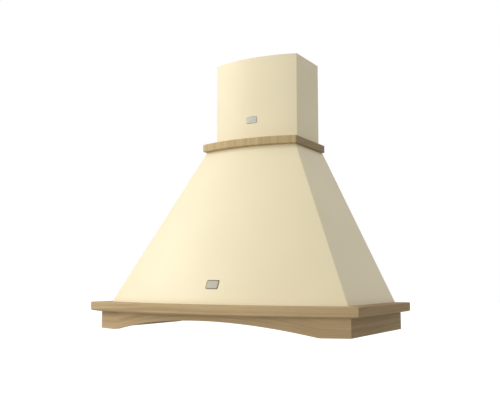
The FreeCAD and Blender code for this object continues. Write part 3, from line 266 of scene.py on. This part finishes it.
def ranged(tree, value, low, high, to_low=0.0, to_high=1.0):
    """A value stretched from one range to another and clipped there."""
    return add(tree, "MapRange", {"Value": value, "From Min": low, "From Max": high,
                                  "To Min": to_low, "To Max": to_high}).outputs["Result"]


def math_of(tree, operation, *values):
    """Arithmetic on sockets or numbers."""
    return add(tree, "Math", dict(enumerate(values)), operation=operation).outputs[0]


def shared_group(name, inputs, outputs, fill):
    """A node group: fill(tree, its inputs) returns one socket for each output."""
    tree = bpy.data.node_groups.new(name, "ShaderNodeTree")
    for key, kind in inputs:
        tree.interface.new_socket(name=key, in_out="INPUT", socket_type=kind)
    for key in outputs:
        tree.interface.new_socket(name=key, in_out="OUTPUT", socket_type="NodeSocketFloat")
    start, end = tree.nodes.new("NodeGroupInput"), tree.nodes.new("NodeGroupOutput")
    for key, socket in zip(outputs, fill(tree, start.outputs)):
        tree.links.new(socket, end.inputs[key])
    return tree


def grouped(tree, group, inputs):
    """The group's outputs, used in a material."""
    node = tree.nodes.new("ShaderNodeGroup")
    node.node_tree = group
    for key, value in inputs.items():
        if isinstance(value, bpy.types.NodeSocket):
            tree.links.new(value, node.inputs[key])
        else:
            node.inputs[key].default_value = value
    return node.outputs


def noise(tree, vector, scale, detail=3.0, roughness=0.55, distortion=0.0):
    """Noise at a vector, in features per metre."""
    return add(tree, "TexNoise", {"Vector": vector, "Scale": scale, "Detail": detail, "Roughness": roughness,
                                  "Distortion": distortion}).outputs["Fac"]


def material(name):
    """A material with a Principled shader; returns the material, its tree and the shader."""
    made = bpy.data.materials.new(name)
    made.use_nodes = True
    shader = made.node_tree.nodes["Principled BSDF"]
    return made, made.node_tree, shader


def link_all(tree, shader, sockets):
    """Link worked-out values into the shader; plain numbers are set on its own sockets."""
    for key, value in sockets.items():
        if isinstance(value, bpy.types.NodeSocket):
            tree.links.new(value, shader.inputs[key])
        else:
            shader.inputs[key].default_value = value


def bumped(tree, height, distance, strength=1.0):
    """The surface normal tilted by a height, distance in metres."""
    return add(tree, "Bump", {"Height": height, "Distance": distance, "Strength": strength}).outputs["Normal"]


# %% [markdown]
# ## Oak
# Oak shows long fibres, broad bands where the board crosses the year rings, and short dark pores. The
# grain runs along each board, so its pattern is drawn in the board's own length and width: noise that
# is stretched many times along the length. Each board is cut from a different place in the tree, so a
# mapping moves the pattern for each.

# %% The oak group
def fill_oak(tree, given):
    """Bands, fibres and pores from noises stretched along the grain (the vector's first number)."""
    spot = given["Place"]

    def stretched(along, across):
        return add(tree, "Mapping", {"Vector": spot, "Scale": (along, across, across)}).outputs["Vector"]

    wander = noise(tree, stretched(1.6, 5.0), 1.0, 2.0)
    bent = add(tree, "VectorMath", {0: spot, 1: add(tree, "CombineXYZ", {"Y": math_of(
        tree, "MULTIPLY", wander, 0.020)}).outputs[0]}, operation="ADD").outputs["Vector"]

    def on_bent(along, across, detail, rough=0.6):
        place = add(tree, "Mapping", {"Vector": bent, "Scale": (along, across, across)}).outputs["Vector"]
        return noise(tree, place, 1.0, detail, rough)

    bands = ranged(tree, on_bent(1.1, 105.0, 3.0), 0.30, 0.70)
    fibres = ranged(tree, on_bent(9.0, 900.0, 4.0), 0.30, 0.72)
    dashes = on_bent(38.0, 1500.0, 2.0)
    pores = math_of(tree, "MULTIPLY", ranged(tree, dashes, 0.60, 0.70), ranged(tree, bands, 0.35, 0.85, 0.25, 1.0))
    blotch = ranged(tree, noise(tree, stretched(2.2, 9.0), 1.0, 2.0), 0.3, 0.7)
    return bands, fibres, pores, blotch


oak_group = shared_group("oak_figure", [("Place", "NodeSocketVector")], ["Bands", "Fibres", "Pores", "Blotch"],
                         fill_oak)


def oak_material(name, shift, pale, dark, use_length=True, turn=0.0, roughness=(0.55, 0.68)):
    """Lacquered oak, its figure moved by shift so that no two boards match."""
    made, tree, shader = material(name)
    coordinates = add(tree, "TexCoord")
    source = coordinates.outputs["UV" if use_length else "Object"]
    place = add(tree, "Mapping", {"Vector": source, "Location": shift,
                                  "Rotation": (0.0, 0.0, turn)}).outputs["Vector"]
    figure = grouped(tree, oak_group, {"Place": place})
    tone = math_of(tree, "ADD", math_of(tree, "MULTIPLY", figure["Bands"], 0.55),
                   math_of(tree, "MULTIPLY", figure["Fibres"], 0.30))
    tone = math_of(tree, "ADD", tone, math_of(tree, "MULTIPLY", figure["Blotch"], 0.15))
    wood = blended(tree, tone, dark, pale)
    wood = blended(tree, math_of(tree, "MULTIPLY", figure["Pores"], 0.45), wood, tuple(0.45 * v for v in dark))
    height = math_of(tree, "SUBTRACT", math_of(tree, "MULTIPLY", figure["Fibres"], 0.35), figure["Pores"])
    link_all(tree, shader, {
        "Base Color": wood, "Normal": bumped(tree, height, 0.00012, 0.55),
        "Roughness": ranged(tree, figure["Pores"], 0.0, 1.0, *roughness),
        "Specular IOR Level": 0.10})
    return made


# The side boards' darker tones are painted shade, not the wood's own colour: they make the shaded side match the
# photograph.
OAK_PALE, OAK_DARK = np.array([0.63, 0.462, 0.254]), np.array([0.315, 0.219, 0.110])
oak_boards = {word: oak_material("oak_" + word, shift, tuple(OAK_PALE * shade), tuple(OAK_DARK * shade))
              for word, shift, shade in (("front", (0.0, 0.0, 0.0), 1.0),
                                         ("left", (3.1, 0.4, 0.0), np.array([0.76, 0.74, 0.68])),
                                         ("right", (5.3, 0.9, 0.0), np.array([0.72, 0.69, 0.60])))}
print("oak boards:", list(oak_boards))

# %% [markdown]
# ## Cream enamel
# The canopy and chimney are sprayed steel baked to a satin skin. Such a skin is never quite flat: a
# very fine orange peel breaks up its reflections, and there is a slight drift in tone and gloss over a
# large panel. All three come from noise at different scales, kept weak.

# %% The enamel group and its finishes
def fill_skin(tree, given):
    """Orange peel, slow drift and faint specks."""
    spot = given["Place"]
    peel = noise(tree, spot, 420.0, 2.0)
    drift = ranged(tree, noise(tree, spot, 3.2, 2.0), 0.3, 0.7)
    specks = ranged(tree, noise(tree, spot, 900.0, 1.0), 0.70, 0.78)
    smudge = ranged(tree, noise(tree, spot, 14.0, 4.0, 0.6, 0.4), 0.42, 0.75)
    return peel, drift, specks, smudge


skin_group = shared_group("sprayed_skin", [("Place", "NodeSocketVector")], ["Peel", "Drift", "Specks", "Smudge"],
                          fill_skin)


def sprayed(name, colour, roughness, peel=0.00003, coat=0.06, speck=0.25):
    """A sprayed or moulded skin in one colour."""
    made, tree, shader = material(name)
    skin = grouped(tree, skin_group, {"Place": add(tree, "TexCoord").outputs["Object"]})
    tone = blended(tree, skin["Drift"], tuple(v * 0.965 for v in colour),
                   tuple(min(1.0, v * 1.02) for v in colour))
    tone = blended(tree, math_of(tree, "MULTIPLY", skin["Specks"], speck), tone, tuple(v * 0.8 for v in colour))
    link_all(tree, shader, {
        "Base Color": tone, "Roughness": ranged(tree, skin["Smudge"], 0.0, 1.0, roughness, roughness + 0.07),
        "Normal": bumped(tree, skin["Peel"], peel, 0.5), "Coat Weight": coat, "Coat Roughness": 0.3,
        "Specular IOR Level": 0.55})
    return made


CREAM = (0.800, 0.702, 0.465)
finishes = {
    "cream_enamel": sprayed("cream_enamel", CREAM, 0.47),
    "grey_enamel": sprayed("grey_enamel", (0.62, 0.60, 0.53), 0.42),
    "white_plastic": sprayed("white_plastic", (0.72, 0.71, 0.67), 0.38, coat=0.0),
    "black_plastic": sprayed("black_plastic", (0.022, 0.022, 0.023), 0.45, coat=0.0, speck=0.1),
    "dark_plastic": sprayed("dark_plastic", (0.055, 0.055, 0.057), 0.5, coat=0.0, speck=0.1),
    "button_plastic": sprayed("button_plastic", (0.70, 0.62, 0.44), 0.35, coat=0.1, speck=0.1),
    "wheel_plastic": sprayed("wheel_plastic", (0.10, 0.10, 0.105), 0.48, coat=0.0, speck=0.1),
}
print("sprayed and moulded finishes:", len(finishes))

# %% [markdown]
# ## Metals
# Inside the hood is plain working metal: galvanised brackets with their frosty crystals, brushed
# aluminium filters, a grey motor, bright screws. One function makes them all, from brushing stretched
# in one direction, crystals from a Voronoi pattern, and a thin grime.

# %% The metal group and its finishes
def fill_metal(tree, given):
    """Brushing along x, crystal patches and grime."""
    spot = given["Place"]
    stretched = add(tree, "Mapping", {"Vector": spot, "Scale": (6.0, 700.0, 700.0)}).outputs[0]
    brushed = noise(tree, stretched, 1.0, 3.0)
    crystals = add(tree, "TexVoronoi", {"Vector": spot, "Scale": 160.0}).outputs["Color"]
    patches = add(tree, "SeparateColor", {"Color": crystals}).outputs["Red"]
    grime = ranged(tree, noise(tree, spot, 26.0, 4.0, 0.65), 0.5, 0.8)
    return brushed, patches, grime


metal_group = shared_group("worked_metal", [("Place", "NodeSocketVector")], ["Brushed", "Patches", "Grime"],
                           fill_metal)


def metal(name, colour, roughness, crystals=0.0, brushing=0.4, grime=0.25):
    """A bare metal: its tone follows the crystals, its gloss the brushing, and grime dulls it."""
    made, tree, shader = material(name)
    parts = grouped(tree, metal_group, {"Place": add(tree, "TexCoord").outputs["Object"]})
    tone = blended(tree, math_of(tree, "MULTIPLY", parts["Patches"], crystals), colour,
                   tuple(v * 0.72 for v in colour))
    tone = blended(tree, math_of(tree, "MULTIPLY", parts["Grime"], grime), tone, (0.16, 0.14, 0.11))
    gloss = math_of(tree, "ADD", ranged(tree, parts["Brushed"], 0.3, 0.7, roughness, roughness + 0.12),
                    math_of(tree, "MULTIPLY", parts["Grime"], 0.2))
    link_all(tree, shader, {
        "Base Color": tone, "Metallic": 1.0, "Roughness": gloss,
        "Normal": bumped(tree, parts["Brushed"], 0.00002, brushing)})
    return made


finishes.update({
    "galvanised": metal("galvanised", (0.55, 0.56, 0.57), 0.38, crystals=0.8, brushing=0.1),
    "filter_aluminium": metal("filter_aluminium", (0.56, 0.56, 0.57), 0.34),
    "mesh_aluminium": metal("mesh_aluminium", (0.50, 0.50, 0.51), 0.38, grime=0.45),
    "motor_steel": metal("motor_steel", (0.36, 0.36, 0.37), 0.42, crystals=0.3, grime=0.4),
    "bright_steel": metal("bright_steel", (0.70, 0.70, 0.70), 0.22, grime=0.1),
    "satin_steel": metal("satin_steel", (0.64, 0.63, 0.61), 0.28, grime=0.1),
    "plate_metal": metal("plate_metal", (0.76, 0.74, 0.69), 0.30, brushing=0.6, grime=0.12),
})


def lens_material():
    """Frosted lamp lens: pale, slightly see-through, with fine ribs in the mesh itself."""
    made, tree, shader = material("lamp_glass")
    skin = grouped(tree, skin_group, {"Place": add(tree, "TexCoord").outputs["Object"]})
    link_all(tree, shader, {
        "Base Color": blended(tree, skin["Drift"], (0.86, 0.87, 0.86), (0.92, 0.93, 0.92)),
        "Roughness": ranged(tree, skin["Smudge"], 0.0, 1.0, 0.22, 0.34),
        "Transmission Weight": 0.30, "IOR": 1.49, "Normal": bumped(tree, skin["Peel"], 0.00004, 0.4)})
    return made


finishes["lamp_glass"] = lens_material()
finishes["oak"] = oak_boards["front"]
finishes["oak_rough"] = oak_material("oak_rough", (1.7, 0.3, 0.2), (0.64, 0.49, 0.30), (0.50, 0.36, 0.21),
                                     use_length=False, roughness=(0.6, 0.75))
for node in nodes.values():
    for place in node.material_slots:
        place.material = finishes[place.material.name.split(".")[0]]
print("finishes:", sorted(finishes))


def dressed(obj, slot_name, body, *stands_for, finish=None):
    """Give a new piece its finish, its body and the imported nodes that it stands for."""
    obj.data.materials.append(finish or finishes[slot_name])
    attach(obj, body)
    if stands_for:
        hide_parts(*stands_for)
    return obj


# %% [markdown]
# ## The oak cornice
# A moulding that stands out over the frieze, its nose rounded a little above and more below. It is cut
# from three lengths, mitred at the front corners. A profile carried along the walk gives each length, and
# the mitre is simply where the front length stops and the side length starts, in the middle of the
# rounded corner.

# %% Cornice
def three_pieces(kind, corners, corner, boards, columns=48, lift=None):
    """The front, left and right lengths of one moulding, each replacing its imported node."""
    rows = eased(corners)
    made = []
    for word in ("front", "left", "right"):
        in_front = word == "front"
        station = stations("front" if in_front else "side", front=columns)
        obj = ring(kind + "_oak_" + word, rows[:, :3], rows[:, 3], station, mirror=word == "left",
                   corner=corner, lift=lift if in_front else None)
        keep_flats_flat(obj)
        dressed(obj, "oak", "hood", kind + "_" + word, finish=boards[word])
        made.append(obj)
    return made


CORNICE_NOSE = CANOPY_BASE - 0.026
cornice_corners = [
    (grown(FRIEZE, -BOARD, -0.0325), FRIEZE_HEIGHT, 0.0),
    (grown(FRIEZE, 0.003), FRIEZE_HEIGHT, 0.0),
    (grown(FRIEZE, 0.030), CORNICE_NOSE, 0.0060),
    (grown(FRIEZE, 0.030), CANOPY_BASE, 0.0030),
    (grown(FRIEZE, 0.020), CANOPY_BASE, 0.0),
    (CANOPY_LOW, CANOPY_BASE, 0.0),
]
cornice = three_pieces("cornice", cornice_corners, corner=0.009, boards=oak_boards)
print("cornice points:", [len(o.data.vertices) for o in cornice])

# %% [markdown]
# ## The oak frieze and its arch
# The frieze boards stand under the cornice. The front board's lower edge is cut to a long flat arch
# with a soft turn at each end. The same walk makes the board, and its lower rows are then lifted onto
# the arch, which is one circle in the middle and a small circle at each end.

# %% Frieze
ARCH_RISE, ARCH_RADIUS, ARCH_END = 0.0375, 1.560, 0.060


def arch_height(x):
    """Height of the arch at x: the small circle's foot near each end, the long circle between."""
    reach = ARCH_RADIUS + ARCH_END
    end_x = math.sqrt(ARCH_RISE * (2 * reach - ARCH_RISE))
    join_x = end_x * ARCH_RADIUS / reach
    x = np.abs(x)
    soft = ARCH_END - np.sqrt(np.maximum(ARCH_END ** 2 - (end_x - np.clip(x, join_x, end_x)) ** 2, 0.0))
    arc = ARCH_RISE - ARCH_RADIUS + np.sqrt(ARCH_RADIUS ** 2 - np.minimum(x, join_x) ** 2)
    return np.where(x > join_x, soft, arc)


def arched(x, z):
    """Rows near the foot are lifted by the whole arch, the top rows not at all."""
    return z + arch_height(x) * np.clip((FRIEZE_HEIGHT - z) / (FRIEZE_HEIGHT - 0.004), 0, 1)


frieze_corners = [
    (grown(FRIEZE, -BOARD), 0.0, 0.0008), (FRIEZE, 0.0, 0.0016),
    (FRIEZE, FRIEZE_HEIGHT, 0.0), (grown(FRIEZE, -BOARD), FRIEZE_HEIGHT, 0.0),
]
frieze = three_pieces("frieze", frieze_corners, corner=0.0022, boards=oak_boards, columns=150, lift=arched)
print("arch height in the middle:", round(float(arch_height(np.zeros(1))[0]), 4))

# %% [markdown]
# ## The oak neck
# A ledge of oak closes the joint between canopy and chimney. It is sawn from thin stock with its grain
# standing upright across the front, so it has its own material, with the figure turned a quarter.

# %% Neck
# The neck's side pieces are darkened to 0.66 of the front's tones: this is painted shade, not a difference in the
# wood.
NECK_PALE, NECK_DARK, NECK_SIDE_PAINTED_SHADE = np.array([0.66, 0.505, 0.280]), np.array([0.36, 0.258, 0.125]), 0.66
neck_oak = {word: oak_material("oak_neck_" + word, shift, tuple(NECK_PALE * shade), tuple(NECK_DARK * shade),
                               turn=turn)
            for word, shift, turn, shade in (("front", (0.7, 1.9, 0.0), math.pi / 2, 1.0),
                                             ("left", (2.2, 0.1, 0.0), 0.0, NECK_SIDE_PAINTED_SHADE),
                                             ("right", (4.4, 0.2, 0.0), 0.0, NECK_SIDE_PAINTED_SHADE))}
neck_outer = grown(CANOPY_HIGH, 0.0085, 0.015)
neck_corners = [
    (CHIMNEY, CANOPY_TOP, 0.0), (grown(neck_outer, -0.006), CANOPY_TOP, 0.0), (neck_outer, CANOPY_TOP, 0.0025),
    (neck_outer, NECK_TOP, 0.0030), (grown(neck_outer, -0.006), NECK_TOP, 0.0), (CHIMNEY, NECK_TOP, 0.0),
]
neck = three_pieces("neck", neck_corners, corner=0.003, boards=neck_oak)
print("neck pieces:", [o.name for o in neck])

# %% [markdown]
# ## The canopy
# One sheet of steel, bent at two corners, with a skirt that drops behind the oak and a top plate that is
# open for the duct. Each height has its own outline: straight lines join the low outline to the high
# one. The sheet's outer rows are followed by its inner rows backwards, which gives it its real wall.

# %% Canopy
def sheet_ring(name, outer, thickness, body, stands_for, corner, back, lip=0.0, flange=False):
    """A bent sheet from its outer (outline, height) rows; the inner rows are one thickness inside."""
    inner = [(grown(plan, -thickness), z - drop) for plan, z, drop in reversed(outer)]
    rows = [(plan, z) for plan, z, _ in outer] + inner
    plans = np.array([plan for plan, _ in rows])
    heights = np.array([z for _, z in rows])
    backs = np.r_[np.full(len(outer), back), np.full(len(outer), back - (thickness if flange else 0.0))]
    corners = np.r_[np.full(len(outer), corner), np.full(len(outer), corner - thickness)]
    obj = ring(name, plans, heights, stations("all", front=64, turn=10, side=16, flange=flange), corner=corners,
               back=backs, lip=lip, paired=True, smooth_angle=30.0)
    keep_flats_flat(obj)
    return dressed(obj, "cream_enamel", body, stands_for)


def canopy_outline(z):
    """The outline at a height on the slope: a straight share of the low and the high one."""
    share = (z - CANOPY_BASE) / (CANOPY_TOP - CANOPY_BASE)
    return CANOPY_LOW + (CANOPY_HIGH - CANOPY_LOW) * share


canopy_rows = [(CANOPY_LOW, SKIRT_BASE, 0.0)]
canopy_rows += [(canopy_outline(z), z, 0.0) for z in np.linspace(CANOPY_BASE, CANOPY_TOP, 25)[:-1]]
canopy_rows += [(CANOPY_HIGH, CANOPY_TOP, SHEET), (grown(CHIMNEY, -0.008), CANOPY_TOP, SHEET)]
canopy = sheet_ring("canopy_sheet", canopy_rows, SHEET, "hood", "canopy_shell", 0.0042, -BACK_SHEET)
print("canopy:", len(canopy.data.polygons), "faces")

# %% [markdown]
# ## The chimney covers
# Two bow-fronted channels, one inside the other, with narrow flanges that turn in against the wall. The
# inner one slides up to meet the ceiling, so it rides on its own body.

# %% Chimney covers
FLANGE = 0.015
chimney_rows = [(CHIMNEY, z, 0.0) for z in np.linspace(CANOPY_TOP, CHIMNEY_TOP, 7)]
chimney = sheet_ring("chimney_cover_lower", chimney_rows, CHIMNEY_SHEET, "hood", "chimney_lower", 0.0035,
                     -BACK_SHEET, lip=CHIMNEY[0] - FLANGE, flange=True)
UPPER = grown(CHIMNEY, -0.002)
upper_rows = [(UPPER, z, 0.0) for z in np.linspace(CANOPY_TOP, CHIMNEY_TOP - 0.002, 7)]
chimney_upper = sheet_ring("chimney_cover_upper", upper_rows, CHIMNEY_SHEET, "chimney_top", "chimney_upper",
                           0.0030, -BACK_SHEET - 0.002, lip=UPPER[0] - FLANGE, flange=True)

# %% [markdown]
# ## The two bare plates
# A small metal plate sits on the canopy and another on the chimney, both left blank. Each is a rounded
# rectangle laid on the curved sheet behind it: rings shrink from the rim to the middle, and the height
# over the sheet is a soft dome with an engraved line just inside the rim.

# %% Plates
def front_y(x, z):
    """y of the bowed front at x and z: the canopy's slope, or the chimney above it."""
    plan = np.where(z[..., None] < CANOPY_TOP, canopy_outline(z[..., None]), CHIMNEY)
    return plan[..., 1] - np.sqrt(plan[..., 2] ** 2 - x * x)


def plate_material(name, colour, line_colour, line_depth, line_width):
    """Brushed metal with a darkened border; the UV map's second number is the distance from the rim."""
    made, tree, shader = material(name)
    coordinates = add(tree, "TexCoord")
    parts = grouped(tree, metal_group, {"Place": coordinates.outputs["Object"]})
    rim = add(tree, "SeparateXYZ", {"Vector": coordinates.outputs["UV"]}).outputs["Y"]
    line = ranged(tree, rim, line_width + 0.0003, line_width)
    tone = blended(tree, math_of(tree, "MULTIPLY", parts["Grime"], 0.15), colour, tuple(v * 0.6 for v in colour))
    tone = blended(tree, math_of(tree, "MULTIPLY", line, line_depth), tone, line_colour)
    link_all(tree, shader, {
        "Base Color": tone, "Metallic": 1.0,
        "Roughness": ranged(tree, parts["Brushed"], 0.3, 0.7, 0.42, 0.55),
        "Normal": bumped(tree, parts["Brushed"], 0.00002, 0.5)})
    return made


def bare_plate(name, width, height, x0, z0, corner, thickness, finish, stands_for):
    """Rings of a rounded rectangle, each pulled in from the rim, laid on the front.

    Height over the sheet is thickness * (1 - (1 - d / edge)^2) near the rim, where d is the distance
    from the rim, less a shallow groove, plus a faint dome.
    """
    turns = np.linspace(0, 2 * np.pi, 97)[:-1]
    pull = np.r_[0.0, 0.0, 0.0002, 0.0005, 0.0009, 0.0013, 0.0016, 0.0019, 0.0022, 0.0025, 0.0029,
                 np.linspace(0.0045, height / 2 - 0.0005, 6)]
    half_x, half_z = (width / 2 - pull)[:, None], (height / 2 - pull)[:, None]
    round_by = np.clip(corner - pull, 0.0006, None)[:, None]
    cosine, sine = np.cos(turns)[None, :], np.sin(turns)[None, :]
    x = np.sign(cosine) * (half_x - round_by) + round_by * cosine
    z = np.sign(sine) * (half_z - round_by) + round_by * sine
    straight = np.clip(np.abs(pull) / 0.0009, 0, 1)
    rise = thickness * np.sqrt(np.clip(1 - (1 - straight) ** 2, 0, 1))
    rise -= 0.00018 * np.exp(-((pull - 0.0020) / 0.00035) ** 2)
    rise += 0.0002 * pull / (height / 2)
    rise[0], rise[1] = 0.0, 0.25 * thickness
    x, z = x + x0, z + z0
    y = front_y(x, z) - np.minimum(rise, thickness)[:, None]
    grid = np.stack([x, y, z - LIFT], axis=-1)
    rows, columns = x.shape
    i, j = np.arange(rows - 1)[:, None], np.arange(columns)[None, :]
    k = (j + 1) % columns
    faces = np.stack([i * columns + j, i * columns + k, (i + 1) * columns + k, (i + 1) * columns + j],
                     axis=-1).reshape(-1, 4).tolist()
    faces.append(list(range(columns))[::-1])
    faces.append([(rows - 1) * columns + n for n in range(columns)])
    uv = np.stack([np.broadcast_to(turns[None, :] * 0.01, x.shape),
                   np.broadcast_to(pull[:, None], x.shape)], axis=-1)
    obj = piece(name, grid, faces, uv)
    return dressed(obj, "plate_metal", "hood", stands_for, finish=finish)


bare_plate("canopy_badge_blank", 0.0415, 0.0255, 0.008, CANOPY_BASE + 0.0555, 0.0045, 0.0013,
           plate_material("plate_canopy", (0.27, 0.255, 0.205), (0.105, 0.10, 0.065), 0.9, 0.0026), "canopy_plate")
bare_plate("chimney_badge_blank", 0.0385, 0.0230, 0.0, NECK_TOP + 0.082 - 0.0125, 0.0045, 0.0013,
           plate_material("plate_chimney", (0.33, 0.325, 0.28), (0.20, 0.19, 0.15), 0.7, 0.0012), "chimney_plate")
print("plates on the front at y:", front_y(np.array([0.0]), np.array([0.1375])).round(4))

# %% [markdown]
# ## The grease mesh
# A cassette filter holds several sheets of expanded aluminium. Expanded metal is slit and pulled, so
# each strand runs in a zigzag and meets its neighbours at the tips. All strands of a sheet are one
# array: strand, corner of its section, and step along it.

# %% Grease mesh
def expanded_sheets(name, node, body, sheets=3, strand_pitch=0.0062, step=0.0052, width=0.0011, thin=0.0004):
    """Zigzag strands: y swings by half a pitch each step, neighbours swing the other way."""
    low, high = (np.array(c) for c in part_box(node))
    columns = int((high[0] - low[0]) / step) // 2 * 2 + 1
    count = int((high[1] - low[1] - 0.004) / strand_pitch)
    x = np.linspace(low[0] + 0.0005, high[0] - 0.0005, columns)
    swing = np.where(np.arange(columns) % 2 == 0, 1.0, -1.0) * strand_pitch / 2
    middle = np.linspace(low[1] + 0.002 + strand_pitch / 2, high[1] - 0.002 - strand_pitch / 2, count)
    side = np.where(np.arange(count) % 2 == 0, 1.0, -1.0)
    section = np.array([[-0.5, -0.5], [0.5, -0.5], [0.5, 0.5], [-0.5, 0.5]]) * [width, thin]
    levels = low[2] + 0.0004 + np.arange(sheets) * (high[2] - low[2] - 0.0008) / max(1, sheets - 1)
    y = middle[:, None, None] + side[:, None, None] * swing[None, None, :] + section[None, :, :1]
    y = y + np.zeros((sheets, 1, 1, 1)) + (np.arange(sheets) % 2)[:, None, None, None] * strand_pitch * 0.4
    y = np.clip(y, low[1], high[1])
    z = levels[:, None, None, None] + section[None, None, :, 1:] + 0.00015 * swing / strand_pitch
    grid = np.stack(np.broadcast_arrays(x[None, None, None, :], y, z), axis=-1)
    strands = sheets * count
    base = (np.arange(strands) * 4 * columns)[:, None, None]
    i, j = np.arange(4)[None, :, None], np.arange(columns - 1)[None, None, :]
    k = (i + 1) % 4
    sides = np.stack([base + i * columns + j, base + k * columns + j, base + k * columns + j + 1,
                      base + i * columns + j + 1], axis=-1).reshape(-1, 4)
    line = np.arange(4) * columns
    ends = np.concatenate([base[:, :, 0] + line[::-1], base[:, :, 0] + line + columns - 1])
    obj = piece(name, grid, np.concatenate([sides, ends]).tolist(), smooth_angle=20.0)
    return dressed(obj, "mesh_aluminium", body, node)


for word in ("left", "right"):
    sheet = expanded_sheets("grease_mesh_" + word, "filter_mesh_" + word, word + "_filter")
print("grease mesh:", len(sheet.data.polygons), "faces each")

# %% [markdown]
# ## The lamp lenses
# Each lamp has a pressed lens with fine ribs that spread the light. The lens is a height over a grid:
# a bevel rises from its rim and a row of ribs runs across it.

# %% Lamp lenses
def ribbed_lens(name, node, ribs=24):
    """Underside z = lowest + bevel near the rim + rib depth * |cos| across the length."""
    low, high = (np.array(c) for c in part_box(node))
    u, v = np.linspace(0, 1, ribs * 8 + 1)[:, None], np.linspace(0, 1, 25)[None, :]
    x, y = np.broadcast_arrays(low[0] + (high[0] - low[0]) * u, low[1] + (high[1] - low[1]) * v)
    from_rim = np.minimum(np.minimum(x - low[0], high[0] - x), np.minimum(y - low[1], high[1] - y))
    bevel = 0.0020 * np.clip(1 - from_rim / 0.003, 0, 1) ** 1.5
    rib = 0.0006 * np.abs(np.sin(np.pi * ribs * u)) * np.clip((from_rim - 0.004) / 0.002, 0, 1)
    under = np.stack([x, y, low[2] + bevel + rib], axis=-1)
    over = np.stack([x, y, np.full_like(x, high[2])], axis=-1)
    grid = np.concatenate([under.reshape(-1, 3), over.reshape(-1, 3)])
    n, m = x.shape
    face = quads(n, m, False)
    rim = np.concatenate([np.arange(n) * m, (n - 1) * m + np.arange(1, m), np.arange(n - 2, -1, -1) * m + m - 1,
                          np.arange(m - 2, 0, -1)])
    after = np.roll(rim, -1)
    wall = np.stack([rim, after, after + n * m, rim + n * m], axis=-1)
    faces = np.concatenate([face, wall[:, ::-1], face[:, ::-1] + n * m])
    obj = piece(name, grid, faces.tolist(), smooth_angle=50.0)
    return dressed(obj, "lamp_glass", "hood", node)


for word in ("left", "right"):
    lens = ribbed_lens("lamp_lens_" + word, "lamp_glass_" + word)
print("lens:", len(lens.data.polygons), "faces each")

# %% [markdown]
# ## Floor, light and camera
# The hood hangs at head height, so the floor is well below it. A pale floor and a white surround, a
# broad soft lamp from the left, another from the front and the surround's own light are enough. Rays from
# the camera, off a glossy surface or through glass see floor and surround as white. Other rays see them dimmer.

# %% Floor and surround
FLOOR_Z = -1.30


def seen_plainly(tree):
    """1 for rays from the camera, off a glossy surface or through glass; 0 for rays that carry light."""
    path = add(tree, "LightPath")
    return math_of(tree, "MAXIMUM", path.outputs["Is Camera Ray"],
                   math_of(tree, "MAXIMUM", path.outputs["Is Glossy Ray"], path.outputs["Is Transmission Ray"]))


def stage_floor():
    """A wide pale floor with some light of its own for plain rays, clear when seen from below."""
    mesh = bpy.data.meshes.new("floor")
    reach = 30.0
    mesh.from_pydata([(-reach, -reach, FLOOR_Z), (reach, -reach, FLOOR_Z), (reach, reach, FLOOR_Z),
                      (-reach, reach, FLOOR_Z)], [], [(0, 1, 2, 3)])
    obj = bpy.data.objects.new("floor", mesh)
    bpy.context.scene.collection.objects.link(obj)
    made, tree, shader = material("pale_floor")
    link_all(tree, shader, {"Base Color": (0.50, 0.50, 0.50, 1.0), "Roughness": 0.9,
                            "Emission Color": (1.0, 1.0, 1.0, 1.0),
                            "Emission Strength": math_of(tree, "MULTIPLY", seen_plainly(tree), 0.80)})
    below = add(tree, "BsdfTransparent")
    mixed = add(tree, "MixShader", {0: add(tree, "NewGeometry").outputs["Backfacing"], 1: shader.outputs[0],
                                    2: below.outputs[0]})
    tree.links.new(mixed.outputs[0], tree.nodes["Material Output"].inputs["Surface"])
    mesh.materials.append(made)


def surround(strength):
    """White to plain rays, and a weaker even light of this strength to everything else."""
    world = bpy.data.worlds.new("surround")
    bpy.context.scene.world = world
    world.use_nodes = True
    tree = world.node_tree
    background = tree.nodes["Background"]
    background.inputs["Color"].default_value = (1.0, 1.0, 1.0, 1.0)
    tree.links.new(ranged(tree, seen_plainly(tree), 0.0, 1.0, strength, 1.0), background.inputs["Strength"])


stage_floor()
surround(0.61)

# %% Lamps and camera
MIDDLE = np.array([0.0, -0.2, 0.05])


def soft_lamp(name, azimuth, elevation, distance, size, watts):
    """A square lamp aimed at the hood; azimuth 0 is in front of it and positive is to its left."""
    a, e = math.radians(azimuth), math.radians(elevation)
    direction = np.array([-math.sin(a) * math.cos(e), -math.cos(a) * math.cos(e), math.sin(e)])
    light = bpy.data.lights.new(name, "AREA")
    light.shape, light.size, light.energy = "SQUARE", size, watts
    obj = bpy.data.objects.new(name, light)
    obj.location = (MIDDLE + direction * distance).tolist()
    obj.rotation_euler = (math.pi / 2 - e, 0.0, -a)
    bpy.context.scene.collection.objects.link(obj)


soft_lamp("key", 60.0, 27.0, 3.2, 1.9, 50.0)
soft_lamp("front", 0.0, 6.0, 4.5, 2.5, 52.0)

camera = bpy.data.objects.new("camera", bpy.data.cameras.new("camera"))
camera.data.sensor_width, camera.data.lens = 36.0, 50.94
camera.location = (1.1081, -2.1433, -0.1744)
camera.rotation_euler = (math.radians(96.3), 0.0, math.radians(29.7))
bpy.context.scene.collection.objects.link(camera)
bpy.context.scene.camera = camera
bpy.context.scene.view_settings.view_transform = "Standard"
